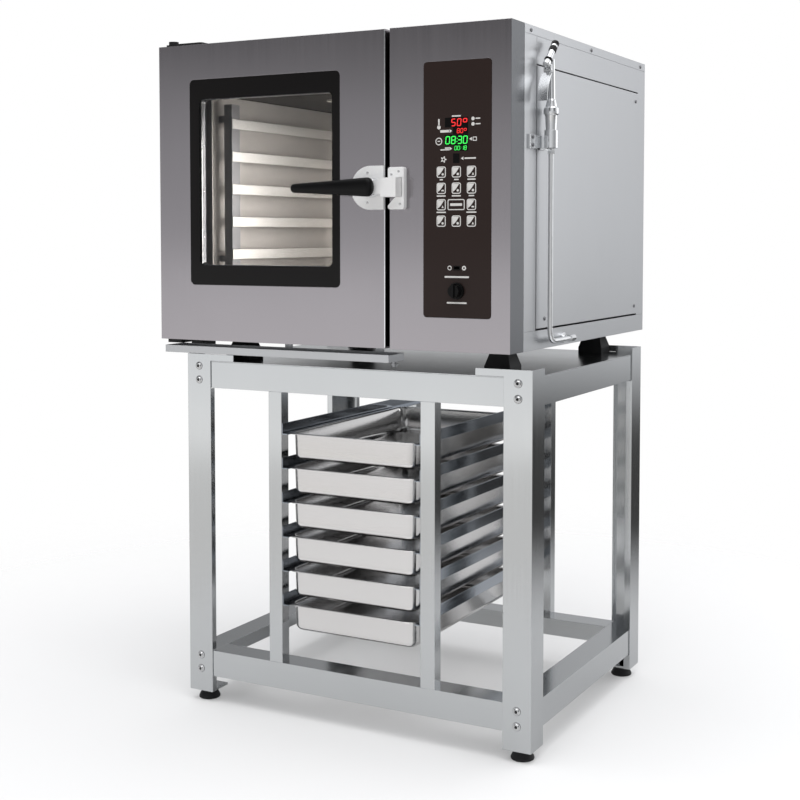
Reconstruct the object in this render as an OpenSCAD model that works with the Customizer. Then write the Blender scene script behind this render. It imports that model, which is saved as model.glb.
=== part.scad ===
// Combi steamer oven on its pan stand.
// Millimetres, +Z up, front of the oven towards -Y, standing on z = 0.
// Every module is written from the oven's front left edge at floor level, and in_row_frame() centres it.

/* [Oven] */
// Width of the oven casing
oven_w = 860; // [820:5:900]
// Depth of the oven casing behind its front face
oven_d = 815; // [790:5:860]
// Height of the oven casing without its feet
oven_h = 655; // [640:5:680]
// Depth of the door and the control column in front of the casing
slab_d = 65; // [60:1:70]
// Width of the door
door_w = 579; // [570:1:584]
// Thickness of the door
door_t = 58; // [54:1:60]
// Distance from the door's left edge to the hinge axis
hinge_x = 16; // [14:1:18]
// Distance from the door's front face to the hinge axis
hinge_y = 33; // [31:1:35]
// Thickness of the folded steel sheet
sheet = 2; // [1.5:0.5:2]

/* [Cavity] */
// Inner width of the cavity between the side walls
cavity_w = 470; // [465:1:475]
// Inner height of the cavity
cavity_h = 431; // [425:1:435]
// Inner depth of the cavity
cavity_d = 633; // [620:1:640]
// Number of shelf levels in the cavity
shelf_count = 5; // [4:1:5]
// Height between two shelf levels
shelf_pitch = 74; // [70:1:76]
// Outer radius of the fan wheel
fan_r = 120; // [110:1:125]
// Number of fan blades
blade_count = 18; // [12:1:20]

/* [Handle] */
// Length of the lever from its axis to its tip
lever_l = 176; // [160:2:190]
// How far the lever stands in front of the door
handle_reach = 60; // [58:1:66]
// Height of the handle axis above the floor
handle_z = 1150; // [1140:1:1160]

/* [Stand] */
// Width of the stand
stand_w = 837; // [830:1:840]
// Depth of the stand
stand_d = 661; // [655:1:665]
// Height of the stand's legs above the floor
stand_h = 788; // [780:1:790]
// Width of each leg flange
leg_w = 62; // [60:1:64]
// Height of the rails
rail_h = 58; // [56:1:60]
// Number of pans in the rack
pan_count = 6; // [6:1:6]
// Height between two pans
pan_pitch = 75; // [72:1:75]
// Depth of a pan below its rim
pan_depth = 57; // [50:1:60]

/* [Hidden] */
$fn = 48;

// Clearances: between fixed pieces, and on the radius of a pin in its bore
gap = 0.3;
run_gap = 0.05;
cut = 1;

// Stand
stand_x = 68;
stand_y = 7;
foot_h = 23;
lip = 15;
rail_low = [60, 60 + rail_h];
deck_z = stand_h - 15;
rail_top = [deck_z - sheet - rail_h, deck_z - sheet];
rail_in = leg_w - sheet;
bolt_x = leg_w / 2;
bolt_zs = [74, 105, 730, 761];
bolt_r = 3;
stem_r = 5;
rack_gap = 340;
post_w = 33;
post_d = 27;
rack_x = (stand_w - rack_gap) / 2;
rack_z = 623;
runner_up = 22;
runner_in = 15;
pan_w = 325;
pan_l = 530;
pan_rim = 11;
pan_wall = 1.5;
pan_r = 24;

// Oven casing
oven_z = 818;
oven_top = oven_z + oven_h;
plinth_z = 857;
cover_z = [861, 1396];
cover_y = [128, 762];
lid_h = 18;
column_x = door_w + 11;
keeper_x = [column_x + 2, column_x + 39];
back_out = 20;
screw_h = 1.8;
row_x = (stand_x + stand_w - screw_h) / 2;
row_y = (oven_d + back_out - handle_reach) / 2;

// Cavity
cav_x = 90;
mouth_w = 380;
cav_z = 940;
cav_y = slab_d + sheet + gap;
wool = 30;
shelf_top = 1316;
rack_face = 38;
rail_face_h = 22;
rail_y = [100, 640];
upright_d = 31;
fan_y = 380;
fan_z = cav_z + cavity_h / 2;
guard_x = cav_x + mouth_w + 2;
motor_x = cav_x + cavity_w + sheet + wool;
shaft_r = 6;
lamp = [280, 330, 28];
vent = [515, 640, 20];
drain = [280, 380, 16];
drain_z = 885;
pipe = [700, 465, 1232, 5];
inlet_z = 900;
ring_r = 152;
grille_r = 100;

// Control column
glass_x = [668, 818];
glass_z = [887, 1399];
panel_mid = 743;
knob_z = 941;
knob_r = 16;
probe_z = 987;

// Door and handle
door_z = [oven_z + 1, oven_top - 0.5];
door_glass_x = [84, 471];
door_glass_z = [943, 1395];
window_x = [109, 452];
window_z = [986, 1352];
hinge_r = 6;
hub_x = 557;
plate_t = 5;
plate_x = 545;
plate_r = 45;
grip_t = 24;
cam_y = [-36, -13];
spindle_r = 8;

// Spray gun
gun_x = 881;
gun_y = 154;
hose_r = 5.5;
hose_bend = 24;
hose_low = 834;
hose_end = 262;
trigger_y = 136;
trigger_z = 1386;
neck_w = 5.7;
blade_r = 90;
blade_mid = [194, 1317];

// ---------- shared shapes ----------

module in_row_frame() translate([-row_x, -row_y, 0]) children();

module block(x, y, z) translate([x[0], y[0], z[0]]) cube([x[1] - x[0], y[1] - y[0], z[1] - z[0]]);

// A straight round bar or cone along each axis, between the two ends of the range
module bar_x(x, y, z, r, r2 = 0) translate([x[0], y, z]) rotate([0, 90, 0])
  cylinder(r1 = r, r2 = r2 == 0 ? r : r2, h = x[1] - x[0]);

module bar_y(x, y, z, r, r2 = 0) translate([x, y[0], z]) rotate([-90, 0, 0])
  cylinder(r1 = r, r2 = r2 == 0 ? r : r2, h = y[1] - y[0]);

module bar_z(x, y, z, r, r2 = 0) translate([x, y, z[0]])
  cylinder(r1 = r, r2 = r2 == 0 ? r : r2, h = z[1] - z[0]);

// Outline of a rectangle w by h from the origin, with quarter circles of radius r
function round_rect(w, h, r, n = 6) = [
  for (c = [[w - r, h - r, 0], [r, h - r, 90], [r, r, 180], [w - r, r, 270]], i = [0:n])
    [c[0] + r * cos(c[2] + 90 * i / n), c[1] + r * sin(c[2] + 90 * i / n)]
];

// A plate that faces the front, with rounded corners
module front_plate(x, y, z, r) translate([x[0], y[1], z[0]]) rotate([90, 0, 0])
  linear_extrude(y[1] - y[0]) polygon(round_rect(x[1] - x[0], z[1] - z[0], r));

// A plate that lies flat, with rounded corners
module flat_plate(x, y, z, r) translate([x[0], y[0], z[0]])
  linear_extrude(z[1] - z[0]) polygon(round_rect(x[1] - x[0], y[1] - y[0], r));

// ---------- stand ----------

module in_stand() in_row_frame() translate([stand_x, stand_y, 0]) children();

// Turns a piece made for the front left corner of the stand to another corner
module to_corner(right, rear) translate([right * stand_w, rear * stand_d, 0])
  mirror([right, 0, 0]) mirror([0, rear, 0]) children();

module bolt_holes() for (z = bolt_zs) bar_y(bolt_x, [-cut, 12], z, bolt_r + 0.1);

module leg() difference() {
  union() {
    block([0, leg_w], [0, sheet], [foot_h, stand_h]);
    block([0, sheet], [0, leg_w], [foot_h, stand_h]);
    for (z = [[foot_h, rail_low[0] - 2], [rail_low[1] + 2, rail_top[0] - 2]]) {
      block([leg_w - sheet, leg_w], [0, lip], z);
      block([0, lip], [leg_w - sheet, leg_w], z);
    }
    block([0, 2 * leg_w], [0, sheet], [deck_z + gap, stand_h]);
    block([0, leg_w - sheet], [0, leg_w - sheet], [foot_h, foot_h + 5]);
  }
  bolt_holes();
  bar_z(leg_w / 2, leg_w / 2, [0, 60], stem_r + run_gap);
}

module stand_legs() color("silver") in_stand()
  for (right = [0, 1], rear = [0, 1]) to_corner(right, rear) leg();

// Folded rail across the front: outer web, top flange and a lip turned down
module cross_rail(z) {
  block([sheet + gap, stand_w - sheet - gap], [sheet + gap, 2 * sheet + gap], z);
  block([rail_in + gap, stand_w - rail_in - gap], [sheet + gap, rail_in], [z[1] - sheet, z[1]]);
  block([rail_in + gap, stand_w - rail_in - gap], [rail_in - sheet, rail_in], [z[1] - lip, z[1]]);
}

// Folded rail along the left side, between the webs of the cross rails
module side_rail(z) {
  ends = [2 * sheet + 2 * gap, stand_d - 2 * sheet - 2 * gap];
  block([sheet + gap, 2 * sheet + gap], ends, z);
  block([sheet + gap, rail_in], ends, [z[1] - sheet, z[1]]);
  block([rail_in - sheet, rail_in], [rail_in + gap, stand_d - rail_in - gap], [z[1] - lip, z[1]]);
}

module rail_ring(z) {
  for (rear = [0, 1]) difference() {
    to_corner(0, rear) cross_rail(z);
    for (right = [0, 1]) to_corner(right, rear) bolt_holes();
  }
  for (right = [0, 1]) to_corner(right, 0) side_rail(z);
}

module stand_top_rails() color("silver") in_stand() rail_ring(rail_top);

module stand_bottom_rails() color("silver") in_stand() rail_ring(rail_low);

module stand_top_plate() color("gainsboro") in_stand()
  block([sheet + gap, stand_w - sheet - gap], [sheet + gap, stand_d - sheet - gap], [deck_z - sheet, deck_z]);

module rack_post() {
  x = [rack_x - post_w, rack_x];
  y = [sheet + gap, sheet + gap + post_d];
  difference() {
    block(x, y, [rail_low[1], rail_top[0]]);
    block([x[0] + sheet, x[1] - sheet], [y[0] + sheet, y[1] - sheet], [rail_low[1] - cut, rail_top[0] + cut]);
  }
  block([x[0] + sheet, x[1] - sheet], [2 * sheet + 2 * gap, 3 * sheet + 2 * gap], [rail_top[0] - 20, rail_top[0] + 25]);
}

module rack_posts() color("silver") in_stand()
  for (right = [0, 1], rear = [0, 1]) to_corner(right, rear) rack_post();

function level_z(i) = rack_z - i * pan_pitch;

module runner(z) {
  block([rack_x + gap, rack_x + gap + sheet], [3, stand_d - 3], [z - sheet, z + runner_up]);
  block([rack_x + gap, rack_x + runner_in], [3, stand_d - 3], [z - sheet, z]);
}

module rack_runners() color("slategray") in_stand()
  for (right = [0, 1], i = [0:pan_count - 1]) to_corner(right, 0) runner(level_z(i));

module bolt(z) {
  bar_y(bolt_x, [-1.2, 0], z, 7);
  bar_y(bolt_x, [-4.5, -1.2], z, 4, 5.2);
  bar_y(bolt_x, [-1.2, 12], z, bolt_r);
}

module stand_bolts() color("silver") in_stand()
  for (right = [0, 1], rear = [0, 1], z = bolt_zs) to_corner(right, rear) bolt(z);

module levelling_foot(right, rear) color("black") in_stand() to_corner(right, rear) {
  c = leg_w / 2;
  bar_z(c, c, [0, 5], 23, 24);
  bar_z(c, c, [5, foot_h - 0.5], 23.5, 17);
  bar_z(c, c, [15, 75], stem_r);
}

module gn_pan(i) color("whitesmoke") in_stand() {
  x = [(stand_w - pan_w) / 2, (stand_w + pan_w) / 2];
  y = [1, 1 + pan_l];
  z = level_z(i) + gap;
  well = [pan_rim, pan_rim + pan_wall];
  difference() {
    union() {
      flat_plate(x, y, [z, z + 2], pan_r + 8);
      flat_plate([x[0] + well[0], x[1] - well[0]], [y[0] + well[0], y[1] - well[0]], [z - pan_depth, z + 1], pan_r);
    }
    flat_plate([x[0] + well[1], x[1] - well[1]], [y[0] + well[1], y[1] - well[1]],
      [z - pan_depth + pan_wall, z + 3], pan_r - pan_wall);
  }
}

// ---------- oven casing ----------

// Rubber foot: a square block whose sides slope in towards the casing
module oven_foot(x, y) {
  w = 58;
  t = 37;
  h = oven_z - deck_z;
  side = [[0, 0], [w, 0], [w, 12], [(w + t) / 2, h], [(w - t) / 2, h], [0, 12]];
  translate([x, y, deck_z]) intersection() {
    translate([0, w, 0]) rotate([90, 0, 0]) linear_extrude(w) polygon(side);
    rotate([90, 0, 90]) linear_extrude(w) polygon(side);
  }
}

module oven_feet() color("black") in_row_frame()
  for (x = [130, 770], y = [72, 607]) oven_foot(x, y);

module base_tray() color("lightgray") in_row_frame() difference() {
  block([0, oven_w], [slab_d, oven_d], [oven_z, plinth_z]);
  block([sheet, oven_w - sheet], [slab_d - cut, oven_d - sheet], [oven_z + sheet, plinth_z + cut]);
  bar_x([oven_w - 10, oven_w + 10], hose_end + 12, hose_low, 6.5);
  for (y = [200 : 40 : 400]) block([640, 800], [y, y + 12], [oven_z - cut, oven_z + sheet + cut]);
}

module left_panel() color("lightgray") in_row_frame() {
  block([0, sheet], [slab_d, oven_d], [plinth_z + gap, oven_top - lid_h - gap]);
  block([sheet, 15], [oven_d - 2 * sheet - gap, oven_d - sheet - gap], [plinth_z + gap, oven_top - lid_h - gap]);
}

// Side frame around the service cover, with a fold line behind the front strip
module right_panel() color("lightgray") in_row_frame() difference() {
  block([oven_w - sheet, oven_w], [slab_d, oven_d], [plinth_z + gap, oven_top - lid_h - gap]);
  block([oven_w - 5, oven_w + 5], [cover_y[0] - 1, cover_y[1] + 1], [plinth_z - cut, cover_z[1] + 3]);
  block([oven_w - 0.8, oven_w + 5], [cover_y[0] - 2, cover_y[0] - 0.8], [plinth_z, oven_top]);
}

module service_cover() color("lightgray") in_row_frame() {
  block([oven_w - sheet, oven_w + 1], cover_y, cover_z);
  for (z = [[cover_z[0] + 20, cover_z[0] + 40], [cover_z[1] - 40, cover_z[1] - 20]])
    block([oven_w - 16, oven_w - sheet], [cover_y[1] - 20, cover_y[1] + 10], z);
}

// Rear sheet with cooling slots behind the control column and holes for the services
module back_panel() color("lightgray") in_row_frame() difference() {
  block([sheet + gap, oven_w - sheet - gap], [oven_d - sheet, oven_d], [plinth_z + gap, oven_top - lid_h - gap]);
  for (z = [1200 : 22 : 1400]) block([640, 800], [oven_d - 10, oven_d + 10], [z, z + 8]);
  bar_y(pipe[0], [oven_d - 10, oven_d + 10], inlet_z, 12.5);
  bar_y(drain[0], [oven_d - 10, oven_d + 10], drain_z, drain[2] + 0.5);
  bar_y(800, [oven_d - 10, oven_d + 10], inlet_z, 12.5);
}

module top_lid() color("lightgray") in_row_frame() difference() {
  block([0, oven_w], [slab_d, oven_d], [oven_top - lid_h, oven_top]);
  block([sheet, oven_w - sheet], [slab_d - cut, oven_d - sheet], [oven_top - lid_h - cut, oven_top - sheet]);
  bar_z(vent[0], vent[1], [oven_top - 10, oven_top + 10], vent[2] + 0.5);
}

// Bulkhead behind the door and the column, with the cavity mouth
module front_frame() color("silver") in_row_frame() difference() {
  block([sheet + gap, oven_w - sheet - gap], [slab_d, slab_d + sheet], [oven_z + sheet + gap, oven_top - sheet - gap]);
  front_plate([cav_x, cav_x + mouth_w], [slab_d - cut, slab_d + 5], [cav_z, cav_z + cavity_h], 12);
  for (z = [900, 1230]) block([640, 820], [slab_d - cut, slab_d + 5], [z, z + 140]);
}

module liner_holes(extra) {
  wall = [cav_x + cavity_w - 5, motor_x + 5];
  bar_x(wall, fan_y, fan_z, shaft_r + 3 + extra);
  bar_x(wall, pipe[1], pipe[2], pipe[3] + gap + extra);
  for (y = [-12, 12]) bar_x(wall, fan_y + y, fan_z + ring_r, 4 + gap + extra);
  bar_z(lamp[0], lamp[1], [cav_z + cavity_h - 5, cav_z + cavity_h + 40], lamp[2] + gap + extra);
  bar_z(vent[0], vent[1], [cav_z + cavity_h - 5, cav_z + cavity_h + 40], vent[2] - 2 + extra);
  bar_z(drain[0], drain[1], [cav_z - 40, cav_z + 5], drain[2] + gap + extra);
}

module cavity_liner() color("silver") in_row_frame() difference() {
  block([cav_x - sheet, cav_x + cavity_w + sheet], [cav_y, cav_y + cavity_d + sheet],
    [cav_z - sheet, cav_z + cavity_h + sheet]);
  block([cav_x, cav_x + cavity_w], [cav_y - cut, cav_y + cavity_d], [cav_z, cav_z + cavity_h]);
  liner_holes(0);
}

module insulation() color("khaki") in_row_frame() difference() {
  block([cav_x - wool, cav_x + cavity_w + wool - 2], [cav_y + 3, cav_y + cavity_d + wool],
    [cav_z - wool, cav_z + cavity_h + wool]);
  block([cav_x - sheet - gap, cav_x + cavity_w + sheet + gap], [cav_y, cav_y + cavity_d + sheet + gap],
    [cav_z - sheet - gap, cav_z + cavity_h + sheet + gap]);
  liner_holes(3);
}

// Ring seal around the mouth and the strip that closes the gap beside the door
module door_gasket() color("black") in_row_frame() {
  difference() {
    front_plate([cav_x - 14, cav_x + mouth_w + 14], [door_t + gap, slab_d], [cav_z - 14, cav_z + cavity_h + 14], 22);
    front_plate([cav_x - 4, cav_x + mouth_w + 4], [door_t - cut, slab_d + cut], [cav_z - 4, cav_z + cavity_h + 4], 14);
  }
  block([column_x - 5, column_x - 0.1], [14, slab_d], [oven_z + 4, oven_top - 4]);
}

// ---------- inside the cavity ----------

module cavity_rack() {
  x0 = cav_x + 15;
  x1 = cav_x + rack_face - sheet;
  foot = [cav_z + 22, cav_z + cavity_h - 22];
  for (y = [rail_y[0], rail_y[1] - upright_d]) {
    difference() {
      block([x0, x1], [y, y + upright_d], foot);
      block([x0 - cut, x1 - sheet], [y + sheet, y + upright_d + cut], [foot[0] - cut, foot[1] + cut]);
    }
    for (z = [foot[0] + 30, foot[1] - 40]) block([cav_x + 0.1, x0 + 5], [y, y + sheet], [z, z + 14]);
  }
  for (i = [0:shelf_count - 1]) {
    z = shelf_top - i * shelf_pitch;
    block([x1, x1 + sheet], rail_y, [z - rail_face_h, z]);
    block([x0, x1 + sheet], [rail_y[0] + upright_d, rail_y[1] - upright_d - gap], [z - sheet, z]);
  }
}

module cavity_racks() color("gainsboro") in_row_frame() {
  cavity_rack();
  translate([2 * cav_x + mouth_w, 0, 0]) mirror([1, 0, 0]) cavity_rack();
}

// Sheet in front of the fan on four standoffs: intake grille in the middle, air slots along its edges
module fan_guard() color("silver") in_row_frame() {
  x = [guard_x, guard_x + sheet];
  difference() {
    block(x, [cav_y + 20, cav_y + cavity_d - 8], [cav_z + 6, cav_z + cavity_h - 6]);
    bar_x([x[0] - cut, x[1] + cut], fan_y, fan_z, grille_r);
    for (z = [cav_z + 45 : 60 : cav_z + 360], y = [cav_y + 40, cav_y + cavity_d - 55])
      block([x[0] - cut, x[1] + cut], [y, y + 18], [z, z + 40]);
  }
  for (y = [cav_y + 30, cav_y + cavity_d - 18], z = [cav_z + 16, cav_z + cavity_h - 16])
    bar_x([x[0], cav_x + cavity_w - 0.1], y, z, 5);
  bar_x(x, fan_y, fan_z, 14);
  for (r = [34 : 22 : 78]) difference() {
    bar_x(x, fan_y, fan_z, r + 1.5);
    bar_x([x[0] - cut, x[1] + cut], fan_y, fan_z, r - 1.5);
  }
  for (a = [15 : 60 : 315]) translate([x[0], fan_y, fan_z]) rotate([a, 0, 0])
    translate([0, 12, -1.5]) cube([sheet, grille_r - 11, 3]);
}

module fan_wheel() color("gainsboro") in_row_frame() translate([guard_x + 18, fan_y, fan_z]) rotate([0, 90, 0]) {
  difference() {
    union() {
      translate([0, 0, 46]) cylinder(r = fan_r, h = 3);
      translate([0, 0, 10]) cylinder(r = 20, h = 37);
    }
    translate([0, 0, -cut]) cylinder(r = shaft_r + run_gap, h = 60);
  }
  difference() {
    cylinder(r = fan_r, h = 2);
    translate([0, 0, -cut]) cylinder(r = fan_r - 22, h = 5);
  }
  for (i = [0:blade_count - 1]) rotate([0, 0, 360 * i / blade_count])
    translate([fan_r - 32, -1, 1]) rotate([0, 0, 20]) cube([28, 2, 46]);
}

// Motor outside the insulated wall, with its shaft through to the fan wheel
module fan_motor() color("dimgray") in_row_frame() {
  bar_x([motor_x, motor_x + 5], fan_y, fan_z, 75);
  bar_x([motor_x + 5, motor_x + 125], fan_y, fan_z, 55);
  bar_x([motor_x + 125, motor_x + 150], fan_y, fan_z, 48, 40);
  bar_x([guard_x + 20, motor_x], fan_y, fan_z, shaft_r);
}

module heating_element() color("dimgray") in_row_frame() {
  turns = [guard_x + 26, guard_x + 42, guard_x + 58];
  for (x = turns) translate([x, fan_y, fan_z]) rotate([0, 90, 0])
    rotate_extrude() translate([ring_r, 0]) circle(r = 4);
  for (y = [-12, 12]) bar_x([turns[0], motor_x + 25], fan_y + y, fan_z + ring_r, 4);
}

module steam_pipe() color("silver") in_row_frame() {
  r = pipe[3];
  bar_x([cav_x + cavity_w - 14, pipe[0]], pipe[1], pipe[2], r);
  bar_z(pipe[0], pipe[1], [inlet_z, pipe[2]], r);
  bar_y(pipe[0], [pipe[1], oven_d - 40], inlet_z, r);
  for (z = [inlet_z, pipe[2]]) translate([pipe[0], pipe[1], z]) sphere(r = r);
  block([pipe[0] - 20, pipe[0] + 20], [oven_d - 120, oven_d - 75], [inlet_z - 22, inlet_z + 30]);
}

module cavity_lamp() color("white") in_row_frame() {
  top = cav_z + cavity_h;
  bar_z(lamp[0], lamp[1], [top - 4, top - 0.5], lamp[2] + 8, lamp[2] + 8);
  bar_z(lamp[0], lamp[1], [top - 0.6, top + wool + 10], lamp[2]);
}

module drain_pipe() color("silver") in_row_frame() difference() {
  union() {
    bar_z(drain[0], drain[1], [drain_z, cav_z + 1], drain[2]);
    translate([drain[0], drain[1], drain_z]) sphere(r = drain[2]);
    bar_y(drain[0], [drain[1], oven_d + back_out], drain_z, drain[2]);
    bar_y(drain[0], [oven_d + 0.1, oven_d + 2], drain_z, drain[2] + 4);
  }
  bar_z(drain[0], drain[1], [drain_z, cav_z + 5], drain[2] - sheet);
  translate([drain[0], drain[1], drain_z]) sphere(r = drain[2] - sheet);
  bar_y(drain[0], [drain[1], oven_d + back_out + 5], drain_z, drain[2] - sheet);
}

module exhaust_vent() color("silver") in_row_frame() difference() {
  union() {
    bar_z(vent[0], vent[1], [cav_z + cavity_h + sheet + gap, oven_top + 14], vent[2]);
    bar_z(vent[0], vent[1], [oven_top + 0.1, oven_top + 2], vent[2] + 8);
  }
  bar_z(vent[0], vent[1], [cav_z, oven_top + 20], vent[2] - sheet);
}

module water_inlet() color("goldenrod") in_row_frame() difference() {
  union() {
    bar_y(pipe[0], [oven_d - 40, oven_d + back_out], inlet_z, 12);
    bar_y(pipe[0], [oven_d + 0.1, oven_d + 5], inlet_z, 18);
  }
  bar_y(pipe[0], [oven_d - 30, oven_d + back_out + 5], inlet_z, 8);
}

module cable_gland() color("black") in_row_frame() difference() {
  union() {
    bar_y(800, [oven_d - 14, oven_d + 16], inlet_z, 12);
    bar_y(800, [oven_d + 0.1, oven_d + 8], inlet_z, 17);
  }
  bar_y(800, [oven_d - 30, oven_d + 30], inlet_z, 7);
}

// ---------- control column ----------

module control_column() color("gray") in_row_frame() difference() {
  block([column_x, oven_w], [0, slab_d - gap], [oven_z, oven_top]);
  block([column_x + sheet, oven_w - sheet], [sheet, slab_d + cut], [oven_z + sheet, oven_top - sheet]);
  front_plate([glass_x[0] - gap, glass_x[1] + gap], [-cut, 5], [glass_z[0] - gap, glass_z[1] + gap], 7);
}

module control_glass() color("black") in_row_frame() difference() {
  front_plate(glass_x, [-0.6, 4], glass_z, 7);
  bar_y(panel_mid, [-5, 10], knob_z, 3.5);
  block([panel_mid - 7.7, panel_mid + 7.7], [-5, 10], [probe_z - 4.2, probe_z + 4.2]);
}

module control_board() color("darkgreen") in_row_frame() difference() {
  union() {
    block([672, 814], [9, 11], [1060, 1300]);
    block([715, 771], [4.3, 9], [1218, 1290]);
    block([705, 781], [5.5, 9], [1068, 1190]);
    block([718, 768], [14, 42], [knob_z - 24, knob_z + 24]);
  }
  bar_y(panel_mid, [0, 50], knob_z, 3.5);
}

// Off and on selector with its pointer rib
module power_knob() color("black") in_row_frame() {
  bar_y(panel_mid, [-6, -1.2], knob_z, knob_r, knob_r + 1);
  bar_y(panel_mid, [-18, -6], knob_z, knob_r - 4, knob_r - 2.5);
  block([panel_mid - 2.5, panel_mid + 2.5], [-22, -6], [knob_z - knob_r + 3, knob_z + knob_r - 1]);
  bar_y(panel_mid, [-2, 30], knob_z, 3);
}

module probe_socket() color("black") in_row_frame() difference() {
  block([panel_mid - 7.5, panel_mid + 7.5], [-1.5, 26], [probe_z - 4, probe_z + 4]);
  block([panel_mid - 5.5, panel_mid + 5.5], [-3, 22], [probe_z - 2.6, probe_z + 2.6]);
}

module latch_keeper() color("silver") in_row_frame() difference() {
  front_plate(keeper_x, [-12, -0.1], [handle_z - 45, handle_z + 41], 5);
  block([keeper_x[0] - 10, keeper_x[1] - 5], [-20, -6], [handle_z - 20, handle_z + 20]);
  translate([keeper_x[0], 0, handle_z - 20]) rotate([0, 45, 0]) block([-12, 12], [-20, 5], [-12, 12]);
}

// ---------- under the door ----------

module drip_tray() color("silver") in_row_frame() {
  x = [11, 587];
  y = [0, 67];
  z = [789.5, 805.5];
  difference() {
    union() {
      block(x, y, z);
      bar_z(572, 52, [776, z[0] + 1], 6);
      bar_z(572, 52, [781, 784], 9);
    }
    block([x[0] + 1.5, x[1] - 1.5], [y[0] + 1.5, y[1] - 1.5], [z[0] + 1.5, z[1] + cut]);
    bar_z(572, 52, [775, z[1]], 4);
  }
  for (x = [290, 520]) {
    block([x, x + 20], [y[1] - 1.5, y[1]], [z[1] - 2, oven_z - 0.1]);
    block([x, x + 20], [y[1] - 1.5, y[1] + 26], [oven_z - 1.6, oven_z - 0.1]);
  }
}

// Upper and lower hinge arms with their pins
module hinge_brackets() color("black") in_row_frame() {
  difference() {
    union() {
      flat_plate([3, 88], [hinge_y - 15, 118], [oven_top, oven_top + 6], 8);
      bar_z(hinge_x, hinge_y, [oven_top, oven_top + 14], 11);
      flat_plate([8, 82], [hinge_y + 14, 112], [oven_top + 5, oven_top + 12], 6);
    }
    for (x = [24, 66]) bar_z(x, 92, [oven_top + 8, oven_top + 20], 6);
  }
  bar_z(hinge_x, hinge_y, [oven_top - 30, oven_top + 14], hinge_r);
  flat_plate([4, 46], [hinge_y - 18, 150], [oven_z - 8, oven_z - 0.1], 6);
  block([10, 42], [98, 148], [oven_z - 24, oven_z - 7]);
  bar_z(hinge_x, hinge_y, [oven_z - 8, oven_z + 32], hinge_r);
}

// Pan-head screw whose head lies on a side face at x
module screw_x(x, y, z) bar_x([x, x + screw_h], y, z, 4.6, 3.6);

module body_screws() color("silver") in_row_frame() {
  for (y = [97, 440, 780]) {
    screw_x(oven_w, y, oven_top - 10);
    mirror([1, 0, 0]) screw_x(0, y, oven_top - 10);
  }
  for (y = [172, 745], z = [cover_z[0] + 19, cover_z[1] - 20]) screw_x(oven_w + 1, y, z);
  for (z = [1234, 1250]) screw_x(oven_w + 5, 97, z);
  for (x = [30, 300, 560, 830], z = [plinth_z + 12, oven_top - 34])
    bar_y(x, [oven_d, oven_d + screw_h], z, 4.6, 3.6);
}

// ---------- spray gun ----------

module spray_bracket() color("silver") in_row_frame() difference() {
  union() {
    block([oven_w + 3, oven_w + 5], [81, 166], [1226, 1255]);
    block([oven_w + 0.1, oven_w + 3], [81, 120], [1226, 1255]);
    block([oven_w + 5, gun_x - 10], [gun_y - 5, gun_y + 5], [1228, 1255]);
    bar_z(gun_x, gun_y, [1230, 1266], 14);
  }
  bar_z(gun_x, gun_y, [1220, 1270], 11.5);
}

module spray_gun() color("silver") in_row_frame() {
  bar_z(gun_x, gun_y, [1234, 1267], 11.4);
  bar_z(gun_x, gun_y, [1267, 1297], 11.4, 13);
  bar_z(gun_x, gun_y, [1297, 1312], 16);
  bar_z(gun_x, gun_y, [1312, 1326], 12.5, 9.5);
  bar_z(gun_x, gun_y, [1326, 1412], 8, 6.5);
  for (x = [gun_x - 8, gun_x + 6]) block([x, x + 2], [trigger_y - 5, trigger_y + 5], [trigger_z - 4, trigger_z + 12]);
  bar_x([gun_x - 7, gun_x + 7], trigger_y, trigger_z, 1.5);
  translate([gun_x, 129, 1399]) rotate([-45, 0, 0]) {
    translate([0, 0, -6]) cylinder(r = 8, h = 12);
    cylinder(r = 7, h = 40);
    translate([0, 0, 38]) cylinder(r = 8, h = 14);
    translate([0, 0, 52]) cylinder(r1 = 8, r2 = 8.6, h = 14);
  }
}

// Sprung blade on the gun: a curved plate that stands away at its foot, its neck and its pivot eye
module spray_trigger() color("silver") in_row_frame() difference() {
  union() {
    bar_x([gun_x - neck_w, gun_x + neck_w], trigger_y, trigger_z, 3.6);
    intersection() {
      difference() {
        bar_x([gun_x - 11, gun_x + 11], blade_mid[0], blade_mid[1], blade_r);
        bar_x([gun_x - 12, gun_x + 12], blade_mid[0], blade_mid[1], blade_r - 2);
      }
      union() {
        block([gun_x - 11, gun_x + 11], [trigger_y - 40, trigger_y], [trigger_z - 64, trigger_z - 7]);
        block([gun_x - neck_w, gun_x + neck_w], [trigger_y - 10, trigger_y + 1], [trigger_z - 8, trigger_z]);
      }
    }
  }
  bar_x([gun_x - 20, gun_x + 20], trigger_y, trigger_z, 1.5 + run_gap);
}

// Hose held by the holder at its top and the elbow at its foot
module spray_hose() color("silver") in_row_frame() {
  bar_z(gun_x, gun_y, [hose_low + hose_bend, 1234 - 0.05], hose_r);
  translate([gun_x, gun_y + hose_bend, hose_low + hose_bend]) rotate([90, 0, 90]) rotate([0, 0, 180])
    rotate_extrude(angle = 90) translate([hose_bend, 0]) circle(r = hose_r);
  bar_y(gun_x, [gun_y + hose_bend, hose_end], hose_low, hose_r);
}

module hose_elbow() color("gainsboro") in_row_frame() {
  bar_y(gun_x, [hose_end + 0.05, hose_end + 24], hose_low, 7.5);
  bar_x([oven_w - 6, gun_x], hose_end + 12, hose_low, 6);
  bar_x([oven_w + 0.1, oven_w + 5], hose_end + 12, hose_low, 11);
}

// ---------- door ----------

module spindle_hole(r) bar_y(hub_x, [-20, 100], handle_z, r);

module hinge_bores() for (z = [[door_z[0] - cut, door_z[0] + 34], [door_z[1] - 34, door_z[1] + cut]])
  bar_z(hinge_x, hinge_y, z, hinge_r + run_gap);

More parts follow.
